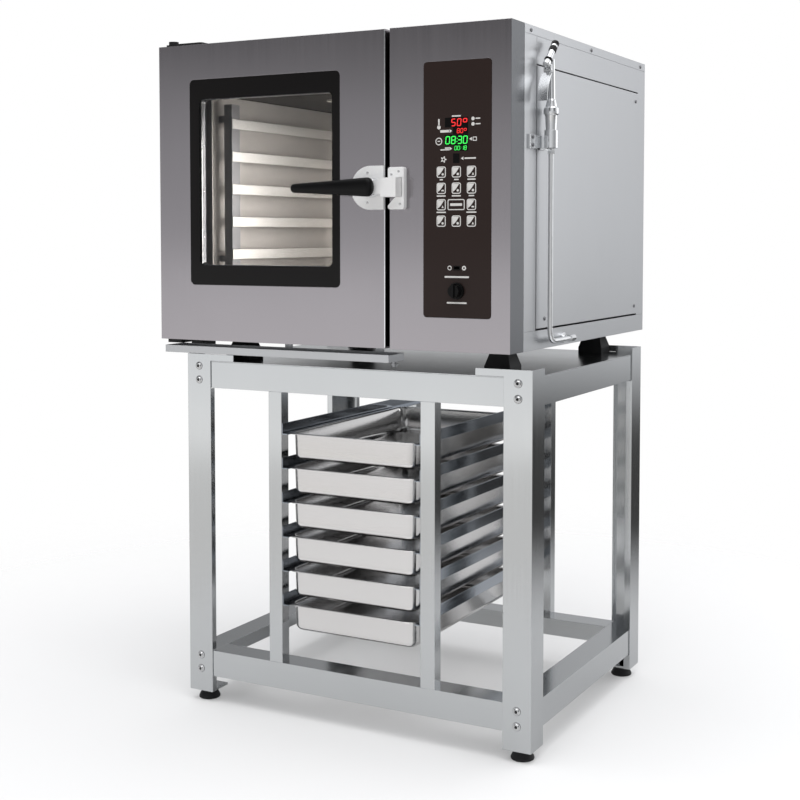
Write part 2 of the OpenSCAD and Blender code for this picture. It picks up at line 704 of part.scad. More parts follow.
module door_shell() color("gray") in_row_frame() difference() {
  union() {
    difference() {
      block([0, door_w], [0, door_t], door_z);
      block([sheet, door_w - sheet], [sheet, door_t + cut], [door_z[0] + sheet, door_z[1] - sheet]);
    }
    bar_z(hinge_x, hinge_y, [door_z[0], door_z[0] + 34], 11);
    bar_z(hinge_x, hinge_y, [door_z[1] - 34, door_z[1]], 11);
  }
  front_plate([door_glass_x[0] - gap, door_glass_x[1] + gap], [-cut, 5],
    [door_glass_z[0] - gap, door_glass_z[1] + gap], 11);
  hinge_bores();
  spindle_hole(9);
}

module door_inner_frame() color("silver") in_row_frame() difference() {
  block([sheet + gap, door_w - sheet - gap], [door_t - 10, door_t], [door_z[0] + sheet + gap, door_z[1] - sheet - gap]);
  block([34, door_w - 14], [door_t - 11, door_t - sheet], [door_z[0] + 50, door_z[1] - 50]);
  block([window_x[0] - 6, window_x[1] + 6], [door_t - 20, door_t + 5], [window_z[0] - 6, window_z[1] + 6]);
}

module door_outer_glass() color("black") in_row_frame()
  front_plate(door_glass_x, [0, 4.5], door_glass_z, 11);

module door_inner_glass() color("lightblue") in_row_frame()
  block([window_x[0] - 18, window_x[1] + 18], [door_t - 6.5, door_t - 2.2], [window_z[0] - 18, window_z[1] + 18]);

module handle_plate() color("silver") in_row_frame() difference() {
  union() {
    block([plate_x, door_w - 1], [-plate_t, -0.1], [handle_z - plate_r, handle_z + plate_r]);
    intersection() {
      bar_y(plate_x + 1, [-plate_t, -0.1], handle_z, plate_r);
      block([plate_x - plate_r, plate_x + 1], [-2 * plate_t, cut], [handle_z - plate_r, handle_z + plate_r]);
    }
    bar_y(hub_x, [-12.5, -plate_t], handle_z, 14);
  }
  spindle_hole(spindle_r + run_gap);
}

// Lever: a tapered bar with a round hub and a round tip
module handle_grip() color("black") in_row_frame() difference() {
  hull() {
    bar_y(hub_x, [-handle_reach, -handle_reach + grip_t], handle_z, 20, 18, $fn = 32);
    bar_y(hub_x - lever_l + 8, [-handle_reach + 4, -handle_reach + 18], handle_z, 8, $fn = 32);
  }
  bar_y(hub_x, [-handle_reach + grip_t - 12, 0], handle_z, spindle_r + gap);
}

// Spindle through the door, and the nose that turns in front of the keeper
module latch_cam() color("silver") in_row_frame() {
  bar_y(hub_x, [-handle_reach + grip_t - 11, door_t - 14], handle_z, spindle_r);
  bar_y(hub_x, [cam_y[0] + 0.2, cam_y[1]], handle_z, 15);
  block([hub_x, 590], cam_y, [handle_z - 14, handle_z + 14]);
  block([587, 623], cam_y, [handle_z - 20, handle_z + 19]);
}

// ---------- one line per node ----------

stand_legs();
stand_top_rails();
stand_bottom_rails();
stand_top_plate();
rack_posts();
rack_runners();
stand_bolts();
levelling_foot(0, 0);  // levelling_foot_front_left
levelling_foot(1, 0);  // levelling_foot_front_right
levelling_foot(0, 1);  // levelling_foot_rear_left
levelling_foot(1, 1);  // levelling_foot_rear_right
gn_pan(0);  // gn_pan_1
gn_pan(1);  // gn_pan_2
gn_pan(2);  // gn_pan_3
gn_pan(3);  // gn_pan_4
gn_pan(4);  // gn_pan_5
gn_pan(5);  // gn_pan_6
oven_feet();
base_tray();
left_panel();
right_panel();
service_cover();
back_panel();
top_lid();
front_frame();
cavity_liner();
insulation();
door_gasket();
cavity_racks();
fan_guard();
fan_wheel();
fan_motor();
heating_element();
steam_pipe();
cavity_lamp();
drain_pipe();
exhaust_vent();
water_inlet();
cable_gland();
control_column();
control_glass();
control_board();
power_knob();
probe_socket();
latch_keeper();
drip_tray();
hinge_brackets();
body_screws();
spray_bracket();
spray_gun();
spray_trigger();
spray_hose();
hose_elbow();
door_shell();
door_inner_frame();
door_outer_glass();
door_inner_glass();
handle_plate();
handle_grip();
latch_cam();
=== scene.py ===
"""Looks of a combi steamer oven on its pan stand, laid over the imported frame.

The frame holds every CAD node at rest, in metres. Sizes in this file are millimetres
from the oven's front left edge at floor level, which Yard turns into the frame's metres.
"""

import logging
import math
from dataclasses import dataclass, field, replace
from enum import Enum
from functools import cache
from typing import Optional, Sequence

import bpy
import numpy as np
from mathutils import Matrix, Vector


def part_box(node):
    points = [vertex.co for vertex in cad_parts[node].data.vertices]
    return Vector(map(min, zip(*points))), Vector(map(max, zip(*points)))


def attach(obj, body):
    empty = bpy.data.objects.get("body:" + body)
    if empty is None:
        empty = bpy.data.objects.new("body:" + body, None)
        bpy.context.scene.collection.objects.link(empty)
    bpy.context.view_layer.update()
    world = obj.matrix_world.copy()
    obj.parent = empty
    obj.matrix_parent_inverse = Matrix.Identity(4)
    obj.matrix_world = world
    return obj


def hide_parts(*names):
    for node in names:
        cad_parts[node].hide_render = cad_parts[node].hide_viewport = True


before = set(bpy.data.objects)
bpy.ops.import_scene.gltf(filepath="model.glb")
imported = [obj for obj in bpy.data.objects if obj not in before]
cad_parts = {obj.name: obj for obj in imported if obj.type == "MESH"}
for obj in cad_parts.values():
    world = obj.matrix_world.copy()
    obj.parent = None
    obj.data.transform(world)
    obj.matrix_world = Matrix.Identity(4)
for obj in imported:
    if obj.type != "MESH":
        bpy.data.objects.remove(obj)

logging.basicConfig(level=logging.INFO, format="%(levelname)s %(message)s")
LOG = logging.getLogger("combi_oven")

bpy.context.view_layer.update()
STATIC_BODY = "oven_body"
MM = 1000.0  # millimetres in a metre
POLE = 0.05  # radius of a turned part where its profile meets the axis
DIAGONAL = math.sqrt(0.5)

Pair = tuple[float, float]
Spot = Sequence[float]
Rows = Sequence[Sequence[float]]
Colour = tuple[float, float, float]


class Grain(Enum):
    """Direction of the brushing on a sheet, as the axes across which its noise is squeezed."""

    ALONG_X = (0, 1, 1)
    ALONG_Y = (1, 0, 1)
    ALONG_Z = (1, 1, 0)


class Axis(Enum):
    """Frames (side, up, forward) for rings whose heights run forward; FACING lays outlines across and up."""

    X = ((0, 1, 0), (0, 0, 1), (1, 0, 0))
    Y = ((0, 0, 1), (1, 0, 0), (0, 1, 0))
    Z = ((1, 0, 0), (0, 1, 0), (0, 0, 1))
    UP_BACK = ((1, 0, 0), (0, DIAGONAL, -DIAGONAL), (0, DIAGONAL, DIAGONAL))
    FACING = ((1, 0, 0), (0, 0, 1), (0, 1, 0))


# ---------- places ----------


class Yard:
    """Turns millimetres from the oven's front left edge into the frame's metres."""

    def __init__(self) -> None:
        """Take the zero point from the left panel and the control column."""
        left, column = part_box("left_panel")[0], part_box("control_column")[0]
        self.zero = np.array([left.x, column.y, 0.0])

    def metres(self, points: Rows | Spot) -> np.ndarray:
        """Scale to metres and move to the frame's zero."""
        return np.asarray(points, float) / MM + self.zero

    def box(self, node: str) -> tuple[np.ndarray, np.ndarray]:
        """Lowest and highest corner of a CAD node in oven millimetres."""
        low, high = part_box(node)
        return (np.array(low) - self.zero) * MM, (np.array(high) - self.zero) * MM


YARD = Yard()


# ---------- surfaces ----------


def even_angles(count: int) -> np.ndarray:
    """Angles that share a full turn evenly."""
    return np.arange(count) * 2 * np.pi / count


def circle(count: int) -> np.ndarray:
    """Unit circle: the cosine and sine of even angles."""
    turn = even_angles(count)
    return np.stack([np.cos(turn), np.sin(turn)], -1)


def rounded_rectangle(half_x: object, half_y: object, radius: object, count: int = 5) -> np.ndarray:
    """Outline of a rectangle whose corners are quarter circles.

    Each quarter circle of the radius is moved outwards by the half size less the radius.

    Args:
        half_x: half widths, one for each ring.
        half_y: half heights, one for each ring.
        radius: corner radii, one for each ring.
        count: points on each corner.

    Returns:
        An array of rings by points by two.
    """
    half_x, half_y, radius = (np.atleast_1d(np.asarray(v, float))[:, None] for v in (half_x, half_y, radius))
    turn = np.radians(np.arange(4)[:, None] * 90 + np.linspace(0, 90, count)).ravel()
    x = radius * np.cos(turn) + np.repeat([1, -1, -1, 1], count) * (half_x - radius)
    y = radius * np.sin(turn) + np.repeat([1, 1, -1, -1], count) * (half_y - radius)
    return np.stack([x, y], -1)


@dataclass
class Shell:
    """A closed surface: its points, its quads and its triangles."""

    points: np.ndarray
    quads: np.ndarray
    tris: np.ndarray

    def outwards(self) -> "Shell":
        """The surface with its faces outwards.

        The sum of the triangles' triple products, six times the volume, is negative where they point inwards.
        """
        halves = np.concatenate([self.quads[:, :3], self.quads[:, [0, 2, 3]], self.tris])
        a, b, c = (self.points[halves[:, n]] for n in range(3))
        if np.einsum("ij,ij->i", a, np.cross(b, c)).sum() >= 0:
            return self
        return Shell(self.points, self.quads[:, ::-1], self.tris[:, ::-1])

    def copies(self, offsets: Rows) -> "Shell":
        """The same surface once at each offset, worked out by adding the offsets to all points at once."""
        moves = np.asarray(offsets, float)
        step = np.arange(len(moves))[:, None, None] * len(self.points)
        return Shell(
            (self.points[None] + moves[:, None]).reshape(-1, 3),
            (self.quads[None] + step).reshape(-1, 4),
            (self.tris[None] + step).reshape(-1, 3),
        )


def join(shells: Sequence[Shell]) -> Shell:
    """One surface from several, with each one's indices moved past the points before it."""
    starts = np.cumsum([0] + [len(s.points) for s in shells[:-1]])
    return Shell(
        np.concatenate([s.points for s in shells]),
        np.concatenate([s.quads + n for s, n in zip(shells, starts)]),
        np.concatenate([s.tris + n for s, n in zip(shells, starts)]),
    )


def loft(rings: np.ndarray, endless: bool = False) -> Shell:
    """Skin over rings of points, whose neighbours are joined by quads.

    Endless rings go on from the last to the first; otherwise triangles close each end ring to its mean.

    Args:
        rings: an array of rings by points by three.
        endless: whether the last ring joins the first.

    Returns:
        The closed surface with its faces outwards.
    """
    count, around = rings.shape[:2]
    i = np.arange(count if endless else count - 1)[:, None] * around
    j = np.arange(around)[None]
    k, n = (j + 1) % around, (i + around) % (count * around)
    quads = np.stack([i + j, i + k, n + k, n + j], -1).reshape(-1, 4)
    points = rings.reshape(-1, 3)
    if endless:
        return Shell(points, quads, np.zeros((0, 3), int)).outwards()
    points = np.concatenate([points, [rings[0].mean(0), rings[-1].mean(0)]])
    j, k = j.ravel(), k.ravel()
    last = (count - 1) * around
    low = np.stack([np.full(around, count * around), k, j], -1)
    high = np.stack([np.full(around, count * around + 1), last + j, last + k], -1)
    return Shell(points, quads, np.concatenate([low, high])).outwards()


def placed(plane: np.ndarray, height: Spot, origin: Spot, axis: Axis) -> np.ndarray:
    """Rings in space: origin plus side times the first number, up times the second, forward times height."""
    side, up, forward = (np.array(v, float) for v in axis.value)
    rise = np.asarray(height, float)[:, None, None] * forward
    return np.asarray(origin, float) + plane[..., :1] * side + plane[..., 1:2] * up + rise


def eased(profile: Rows, radius: float, steps: int = 4) -> np.ndarray:
    """Rounds the corners of a profile: each becomes a parabola between points just before and after it.

    Args:
        profile: radius and height pairs.
        radius: how far from the corner the curve starts, at most a little less than half of the side.
        steps: points on each curve.

    Returns:
        The longer profile.
    """
    p = np.asarray(profile, float)
    here = p[1:-1]
    ends = []
    for way in (p[:-2] - here, p[2:] - here):
        side = np.linalg.norm(way, axis=1, keepdims=True)
        ends.append(here + way / side * np.minimum(radius, side * 0.45))
    start, end = (spot[:, None] for spot in ends)
    t = np.linspace(0, 1, steps)[None, :, None]
    curve = (1 - t) ** 2 * start + 2 * t * (1 - t) * here[:, None] + t**2 * end
    return np.concatenate([p[:1], curve.reshape(-1, 2), p[-1:]])


def turned(profile: Rows, origin: Spot, axis: Axis, count: int = 40, ease: float = 0.0, steps: int = 4,
           ribs: int = 0, rib: float = 0.0) -> Shell:
    """A turned part: each (radius, height) of the profile is a circle, which may ripple with the angle.

    Args:
        profile: radius and height pairs from one end to the other, with radius 0 on the axis.
        origin: the place of height zero.
        axis: the direction of the axis.
        count: points round each circle.
        ease: how far from each corner of the profile its curve starts.
        steps: points on each of those curves.
        ribs: ripples round the part.
        rib: height of the ripples.

    Returns:
        The closed surface.
    """
    pairs = eased(profile, ease, steps) if ease else np.asarray(profile, float)
    ripple = rib * np.cos(ribs * even_angles(count)) * (pairs[:, :1] > 1)
    radius = np.maximum(pairs[:, :1] + ripple, POLE)
    return loft(placed(radius[..., None] * circle(count), pairs[:, 1], origin, axis))


def slab(outline: np.ndarray, near: float, far: float, origin: Spot = (0, 0, 0), edge: float = 0.05,
         axis: Axis = Axis.FACING) -> Shell:
    """A flat piece: the outline at the two depths, its rim drawn in at the near one.

    Args:
        outline: points by two, across and up.
        near: depth of the front face.
        far: depth of the back face.
        origin: the place of the outline's zero.
        edge: how far the front face's rim is drawn in.
        axis: the direction of the depth.

    Returns:
        The closed surface.
    """
    mean = outline.mean(0)
    small = mean + (outline - mean) * (1 - edge / np.abs(outline - mean).max())
    return loft(placed(np.stack([outline, outline, small]), [far, near + edge, near], origin, axis))


def bar(x: Pair, z: Pair, near: float, far: float) -> Shell:
    """A square-cornered bar facing the front, between two places across, two heights and two depths."""
    return slab(np.array([[x[0], z[0]], [x[1], z[0]], [x[1], z[1]], [x[0], z[1]]]), near, far)


def frame_band(half: Pair, radius: float, width: float, spot: Pair, depth: Pair) -> Shell:
    """A rounded rectangular frame facing the front: its section, a rectangle, is carried round the outline.

    The section's corners are rounded rectangles, drawn in by nothing or the width, at one of the depths.

    Args:
        half: outer half width and half height.
        radius: outer corner radius.
        width: width of the frame's line.
        spot: middle of the frame, across and up.
        depth: near and far depth.

    Returns:
        The closed surface.
    """
    near, far = depth
    drawn_in = np.array([0, 0, width, width])
    corner = np.maximum(radius - drawn_in, 0.2)
    outline = rounded_rectangle(half[0] - drawn_in, half[1] - drawn_in, corner, 6)
    return loft(placed(outline, [far, near, near, far], (spot[0], 0, spot[1]), Axis.FACING), endless=True)


# ---------- shader maths ----------


class Sock:
    """A shader value that takes part in Python sums."""

    def __init__(self, shader: "Shader", socket: bpy.types.NodeSocket) -> None:
        """Keep the socket and the shader it belongs to."""
        self.shader = shader
        self.socket = socket

    def _sum(self, operation: str, first: object, second: object) -> "Sock":
        """Add one Math node."""
        return self.shader.node("ShaderNodeMath", {"operation": operation}, {0: first, 1: second})

    def __add__(self, other: object) -> "Sock":
        """self + other."""
        return self._sum("ADD", self, other)

    def __sub__(self, other: object) -> "Sock":
        """self - other."""
        return self._sum("SUBTRACT", self, other)

    def __rsub__(self, other: object) -> "Sock":
        """other - self."""
        return self._sum("SUBTRACT", other, self)

    def __mul__(self, other: object) -> "Sock":
        """self * other."""
        return self._sum("MULTIPLY", self, other)

    __radd__ = __add__
    __rmul__ = __mul__

    def above(self, other: object) -> "Sock":
        """1 where self is greater than other, else 0."""
        return self._sum("GREATER_THAN", self, other)

    def swing(self, width: float) -> "Sock":
        """A noise about its middle value, times the width."""
        return (self - 0.5) * width


class Shader:
    """A material, or the world, under construction."""

    def __init__(self, name: str, world: bool = False) -> None:
        """Start an empty node tree with an output."""
        self.owner = (bpy.data.worlds if world else bpy.data.materials).new(name)
        self.owner.use_nodes = True
        self.tree = self.owner.node_tree
        self.tree.nodes.clear()
        self.output = self.tree.nodes.new("ShaderNodeOutputWorld" if world else "ShaderNodeOutputMaterial")

    def node(self, kind: str, settings: Optional[dict] = None, inputs: Optional[dict] = None,
             out: int | str = 0) -> Sock:
        """Add any node.

        Args:
            kind: the node's type.
            settings: attributes set first; "stops" gives a ramp's positions and colours.
            inputs: values or sockets by input name or index.
            out: the output to return, by name or index.

        Returns:
            The chosen output.
        """
        made = self.tree.nodes.new(kind)
        settings = dict(settings or {})
        stops = settings.pop("stops", None)
        for key, value in settings.items():
            setattr(made, key, value)
        if stops:
            ramp = made.color_ramp.elements
            ramp[0].position, ramp[0].color = stops[0]
            ramp[1].position, ramp[1].color = stops[-1]
            for place, colour in stops[1:-1]:
                ramp.new(place).color = colour
        for key, value in (inputs or {}).items():
            if isinstance(value, Sock):
                self.tree.links.new(value.socket, made.inputs[key])
            else:
                made.inputs[key].default_value = value
        return Sock(self, made.outputs[out])

    def vector(self, operation: str, first: object, second: Spot = (0, 0, 0), out: int | str = 0) -> Sock:
        """Add one Vector Math node."""
        return self.node("ShaderNodeVectorMath", {"operation": operation}, {0: first, 1: second}, out)

    def mix(self, factor: object, first: object, second: object) -> Sock:
        """Blend two colours by a factor."""
        return self.node("ShaderNodeMix", {"data_type": "RGBA"}, {0: factor, 6: first, 7: second}, 2)

    def place(self) -> Sock:
        """Object coordinates, which are the frame's metres."""
        return self.node("ShaderNodeTexCoord", out="Object")

    def noise(self, scale: Spot, detail: float = 3.0) -> Sock:
        """Noise between 0 and 1, stretched by the scale of each axis."""
        spot = self.node("ShaderNodeMapping", inputs={"Vector": self.place(), "Scale": tuple(scale)})
        return self.node("ShaderNodeTexNoise", inputs={
            "Vector": spot, "Scale": 1.0, "Detail": detail, "Roughness": 0.55})

    def beyond(self, low: Spot, high: Spot) -> Sock:
        """Distance in metres from a box in oven millimetres.

        It is the length of what is left above zero of |p - middle| less the half size.
        """
        low, high = YARD.metres(low), YARD.metres(high)
        middle, half = (low + high) / 2, (high - low) / 2
        spot = self.node("ShaderNodeMapping", inputs={"Vector": self.place(), "Location": tuple(-middle)})
        over = self.vector("SUBTRACT", self.vector("ABSOLUTE", spot), tuple(half))
        return self.vector("LENGTH", self.vector("MAXIMUM", over), out="Value")

    def bump(self, height: Sock, strength: float, distance: float, edge: float = 0.0) -> Sock:
        """Normal from a height, on top of one that runs round a narrow radius at each edge."""
        inputs = {"Height": height, "Strength": strength, "Distance": distance}
        if edge:
            inputs["Normal"] = self.node("ShaderNodeBevel", {"samples": 4}, {"Radius": edge})
        return self.node("ShaderNodeBump", inputs=inputs)

    def principled(self, inputs: dict) -> Sock:
        """Add the main surface node."""
        return self.node("ShaderNodeBsdfPrincipled", inputs=inputs)

    def finish(self, surface: Sock) -> bpy.types.ID:
        """Join the surface to the output and return the finished material or world."""
        self.tree.links.new(surface.socket, self.output.inputs["Surface"])
        return self.owner


def rgba(colour: Colour, factor: float = 1.0) -> tuple[float, float, float, float]:
    """Colour with full alpha, its brightness times the factor."""
    return (colour[0] * factor, colour[1] * factor, colour[2] * factor, 1.0)


@dataclass(frozen=True)
class BrushedSteel:
    """Sheet steel with brush lines, faint clouding and softened edges."""

    name: str
    tone: Colour
    grain: Grain = Grain.ALONG_X
    roughness: float = 0.28
    contrast: float = 0.16
    clouding: float = 0.08
    depth: float = 0.12
    edge: float = 0.0012
    shade_side_x: Optional[float] = None
    shaded_side_tone: Colour = (0.15, 0.155, 0.165)

    def build(self) -> bpy.types.Material:
        """Lines are noise squeezed across the grain, fine and coarse added, over slow clouding.

        Right of the given place across, where it is given, the sheet takes a painted shade colour, darker and
        bluer, as its shaded side.
        """
        s = Shader(self.name)
        across = np.array(self.grain.value, float)
        fine = s.noise(across * 900 + 4, 2)
        coarse = s.noise(across * 160 + 1.5)
        cloud = s.noise((3.1, 3.7, 2.9))
        lines = fine * 0.6 + coarse * 0.4
        tone = s.mix(lines, rgba(self.tone, 1 - self.contrast), rgba(self.tone, 1 + self.contrast * 0.6))
        tone = s.mix(cloud, tone, rgba(self.tone, 1 - self.clouding))
        # painted shade on the side of the sheet right of the given place
        if self.shade_side_x is not None:
            x = s.node("ShaderNodeSeparateXYZ", inputs={0: s.place()}, out="X")
            tone = s.mix(x.above(float(YARD.metres((self.shade_side_x, 0, 0))[0])), tone, rgba(self.shaded_side_tone))
        return s.finish(s.principled({
            "Base Color": tone, "Metallic": 1.0,
            "Roughness": self.roughness + lines.swing(0.16) + cloud.swing(0.10),
            "Normal": s.bump(lines, self.depth, 0.0003, self.edge)}))


@dataclass(frozen=True)
class ZonedSteel:
    """Cavity steel in two tones: what lies in a box, in oven millimetres, takes a painted shade colour instead
    of the tone.
    """

    name: str
    tone: Colour
    painted_shade: Colour
    low: Colour
    high: Colour
    roughness: float

    def build(self) -> bpy.types.Material:
        """The painted shade gives way to the tone where the distance from the box is above zero; noise then
        mixes part of a darker painted shade into the whole sheet.
        """
        s = Shader(self.name)
        lines = s.noise((260, 40, 600))
        cloud = s.noise((9, 7, 8))
        # painted shade: inside the box the steel takes the dark shade colour
        tone = s.mix(s.beyond(self.low, self.high).above(0.0001), rgba(self.painted_shade), rgba(self.tone))
        tone = s.mix(lines * 0.25 + cloud * 0.2, tone, rgba(self.painted_shade, 0.9))
        return s.finish(s.principled({
            "Base Color": tone, "Metallic": 1.0,
            "Roughness": self.roughness + lines.swing(0.14) + cloud.swing(0.10),
            "Normal": s.bump(lines, 0.1, 0.0003, 0.0010)}))


@dataclass(frozen=True)
class PolishedSteel:
    """Bright metal with fine wipe marks and small waves in the sheet."""

    name: str
    tone: Colour
    roughness: float = 0.14
    wave: float = 0.10
    wave_size: float = 14.0

    def build(self) -> bpy.types.Material:
        """Roughness follows fine noise, and slow noise bends the normal like a pressed sheet."""
        s = Shader(self.name)
        fine = s.noise((420, 380, 400))
        slow = s.noise((self.wave_size, self.wave_size * 0.8, self.wave_size * 1.2), 2)
        return s.finish(s.principled({
            "Base Color": s.mix(fine, rgba(self.tone, 0.93), rgba(self.tone, 1.03)), "Metallic": 1.0,
            "Roughness": self.roughness + fine.swing(0.10) + slow.swing(0.06),
            "Normal": s.bump(slow * 0.8 + fine * 0.2, self.wave, 0.004, 0.0008)}))


@dataclass(frozen=True)
class Moulded:
    """Plastic, rubber, paint or wool: a fine moulded texture over slow colour change."""

    name: str
    tone: Colour
    roughness: float = 0.45
    pebble: float = 1500.0
    depth: float = 0.25
    height: float = 0.0002
    shine: float = 0.25
    change: float = 0.25
    edge: float = 0.0010

    def build(self) -> bpy.types.Material:
        """Pebbles are fine noise in the height and the roughness; slow noise changes the tone."""
        s = Shader(self.name)
        pebble = s.noise((self.pebble,) * 3, 2)
        slow = s.noise((21, 19, 23), 4)
        return s.finish(s.principled({
            "Base Color": s.mix(slow, rgba(self.tone, 1 - self.change), rgba(self.tone, 1 + self.change)),
            "Roughness": self.roughness + pebble.swing(0.16) + slow.swing(0.12),
            "Specular IOR Level": self.shine,
            "Normal": s.bump(pebble, self.depth, self.height, self.edge)}))


@dataclass(frozen=True)
class GlossPanel:
    """Back-painted glass: dark colour under a hard gloss, with faint smears."""

    name: str
    tone: Colour
    roughness: float = 0.08

    def build(self) -> bpy.types.Material:
        """Smears are stretched noise that lifts the roughness a little."""
        s = Shader(self.name)
        smear = s.noise((26, 22, 9), 4)
        dust = s.noise((900, 900, 900), 2)
        return s.finish(s.principled({
            "Base Color": s.mix(dust, rgba(self.tone, 0.9), rgba(self.tone, 1.15)),
            "Roughness": self.roughness + smear * 0.10, "IOR": 1.5, "Specular IOR Level": 0.10,
            "Normal": s.bump(smear, 0.02, 0.001, 0.0006)}))


@dataclass(frozen=True)
class DoorGlass:
    """Pane with a printed black border round a clear window with rounded corners."""

    name: str
    window: tuple[Pair, Pair]
    corner: float = 12.0
    film: float = 0.10

    def build(self) -> bpy.types.Material:
        """The border is further than the corner radius from the window's box drawn in by that radius.

        The box runs far through the pane, so the distance is measured across and up only.
        """
        s = Shader(self.name)
        (left, bottom), (right, top) = self.window
        c = self.corner
        border = s.beyond((left + c, -MM, bottom + c), (right - c, MM, top - c)).above(c / MM)
        smear = s.noise((17, 15, 8), 4)
        dust = s.noise((800, 800, 800), 2)
        printed = s.principled({
            "Base Color": s.mix(dust, (0.005, 0.0045, 0.0045, 1), (0.009, 0.008, 0.008, 1)),
            "Roughness": 0.10 + smear * 0.08, "IOR": 1.5, "Specular IOR Level": 0.13})
        clear = s.principled({
            "Base Color": (0.03, 0.032, 0.034, 1), "Roughness": 0.02 + smear * 0.04, "IOR": 1.5,
            "Specular IOR Level": 0.3, "Alpha": self.film + smear * 0.05})
        return s.finish(s.node("ShaderNodeMixShader", inputs={0: border, 1: clear, 2: printed}))


@dataclass(frozen=True)
class ClearPane:
    """Plain clear pane: a thin film of gloss over nearly full transparency."""

    name: str
    film: float = 0.08

    def build(self) -> bpy.types.Material:
        """Alpha follows faint smears."""
        s = Shader(self.name)
        smear = s.noise((14, 12, 9), 4)
        return s.finish(s.principled({
            "Base Color": (0.05, 0.055, 0.055, 1), "Roughness": 0.03 + smear * 0.05, "IOR": 1.5,
            "Alpha": self.film + smear * 0.05}))


@dataclass(frozen=True)
class Glow:
    """Lit segments or a lamp lens, slightly uneven."""

    name: str
    tone: Colour
    strength: float

    def build(self) -> bpy.types.Material:
        """Noise changes the emission colour a little."""
        s = Shader(self.name)
        uneven = s.noise((500, 500, 500), 2)
        return s.finish(s.principled({
            "Base Color": rgba(self.tone, 0.3), "Roughness": 0.3 + uneven * 0.1,
            "Emission Color": s.mix(uneven, rgba(self.tone, 0.8), rgba(self.tone, 1.1)),
            "Emission Strength": self.strength}))


Finish = BrushedSteel | ZonedSteel | PolishedSteel | Moulded | GlossPanel | DoorGlass | ClearPane | Glow


@cache
def material(finish: Finish) -> bpy.types.Material:
    """The material of a finish, built once."""
    return finish.build()


DOOR_FACE = BrushedSteel("door_graphite_steel", (0.343, 0.324, 0.340), Grain.ALONG_Z, 0.19, 0.08, 0.05, 0.04)
# painted shade: the column's right side is coloured darker and bluer than its front
COLUMN_FACE = replace(DOOR_FACE, name="column_graphite_steel_painted_side_shade", shade_side_x=859.6)
STAND_STEEL_Z = BrushedSteel("stand_steel_upright", (0.53, 0.545, 0.555), Grain.ALONG_Z, 0.15, 0.12, 0.1, 0.08)
STAND_STEEL_X = BrushedSteel("stand_steel_rail", (0.52, 0.535, 0.545), Grain.ALONG_X, 0.15, 0.12, 0.10, 0.08)
# painted reflection: the rack runners are coloured darker and bluer than the stand, for the dark reflections
# on them
RUNNER_PAINTED_REFLECTION_STEEL = BrushedSteel("runner_steel_painted_reflection", (0.36, 0.39, 0.43), Grain.ALONG_Y, 0.12, 0.16, 0.10, 0.08)
CASING_STEEL = BrushedSteel("casing_steel", (0.53, 0.54, 0.555), Grain.ALONG_Z, 0.38, 0.06, 0.04, 0.06)
CAVITY_STEEL = BrushedSteel("cavity_steel", (0.64, 0.61, 0.58), Grain.ALONG_X, 0.52, 0.06)
# painted shade: the cavity ceiling, the top of the liner, is coloured near black
LINER_STEEL = ZonedSteel("liner_steel_painted_ceiling_shade", (0.57, 0.545, 0.52), (0.045, 0.039, 0.035),
                         (0, 0, 1368.5), (860, 900, 1480), 0.55)
# painted shade: the front rack upright is coloured dark grey-blue
RACK_STEEL = ZonedSteel("rack_steel_painted_upright_shade", (0.90, 0.88, 0.85), (0.26, 0.26, 0.27),
                        (80, 90, 900), (126.05, 131.4, 1440), 0.42)
SHELF_STEEL = PolishedSteel("shelf_steel", (0.72, 0.70, 0.67), 0.40)
SPACER_STEEL = BrushedSteel("glass_spacer_steel", (0.24, 0.24, 0.25), Grain.ALONG_Z, 0.30, 0.10)
PAN_STEEL = PolishedSteel("pan_steel", (0.67, 0.66, 0.655), 0.15, 0.10, 9.0)
CHROME = PolishedSteel("bright_chrome", (0.80, 0.81, 0.82), 0.10, 0.05, 30.0)
CAST_PLATE = Moulded("cast_latch_metal", (0.88, 0.88, 0.88), 0.38, 900.0, 0.12, 0.0001, 0.7, 0.05)
HOSE_BRAID = PolishedSteel("hose_braid", (0.78, 0.79, 0.80), 0.30, 0.2, 260.0)
SCREW_STEEL = PolishedSteel("screw_steel", (0.17, 0.17, 0.18), 0.26, 0.05, 200.0)
TRIGGER_STEEL = PolishedSteel("trigger_steel", (0.70, 0.71, 0.72), 0.27, 0.05, 30.0)
BOLT_STEEL = PolishedSteel("bolt_steel", (0.60, 0.605, 0.61), 0.20, 0.05, 200.0)
BLACK_RUBBER = Moulded("black_rubber", (0.014, 0.014, 0.015), 0.62, 900.0, 0.35)
BLACK_PLASTIC = Moulded("black_plastic", (0.005, 0.005, 0.0052), 0.30, 1600.0, 0.12, 0.0001, 0.12)
BRACKET_PAINT = Moulded("bracket_black_paint", (0.010, 0.010, 0.011), 0.42, 1100.0, 0.2)
MOTOR_PAINT = Moulded("motor_paint", (0.10, 0.10, 0.11), 0.50, 700.0, 0.3)
WOOL = Moulded("mineral_wool", (0.45, 0.40, 0.26), 0.95, 260.0, 0.9, 0.002)
BOARD = Moulded("circuit_board_green", (0.02, 0.14, 0.05), 0.5, 500.0, 0.3)
HEATER = Moulded("heater_sheath", (0.16, 0.14, 0.13), 0.55, 800.0, 0.3)
BRASS = PolishedSteel("brass_fitting", (0.72, 0.55, 0.25), 0.25, 0.05, 60.0)
PANEL_GLASS = GlossPanel("control_glass_brown", (0.028, 0.0185, 0.0165))
DISPLAY_BLACK = GlossPanel("display_black", (0.003, 0.003, 0.003), 0.12)
INK = Moulded("white_ink", (0.72, 0.71, 0.69), 0.5, 2000.0, 0.05, 0.0001, 0.2, 0.05, 0.0)
LAMP_GLOW = Glow("lamp_lens", (1.0, 0.93, 0.82), 0.06)
RED_GLOW = Glow("red_segments", (1.0, 0.03, 0.03), 1.05)
GREEN_GLOW = Glow("green_segments", (0.05, 1.0, 0.12), 1.0)
INNER_PANE = ClearPane("inner_pane")


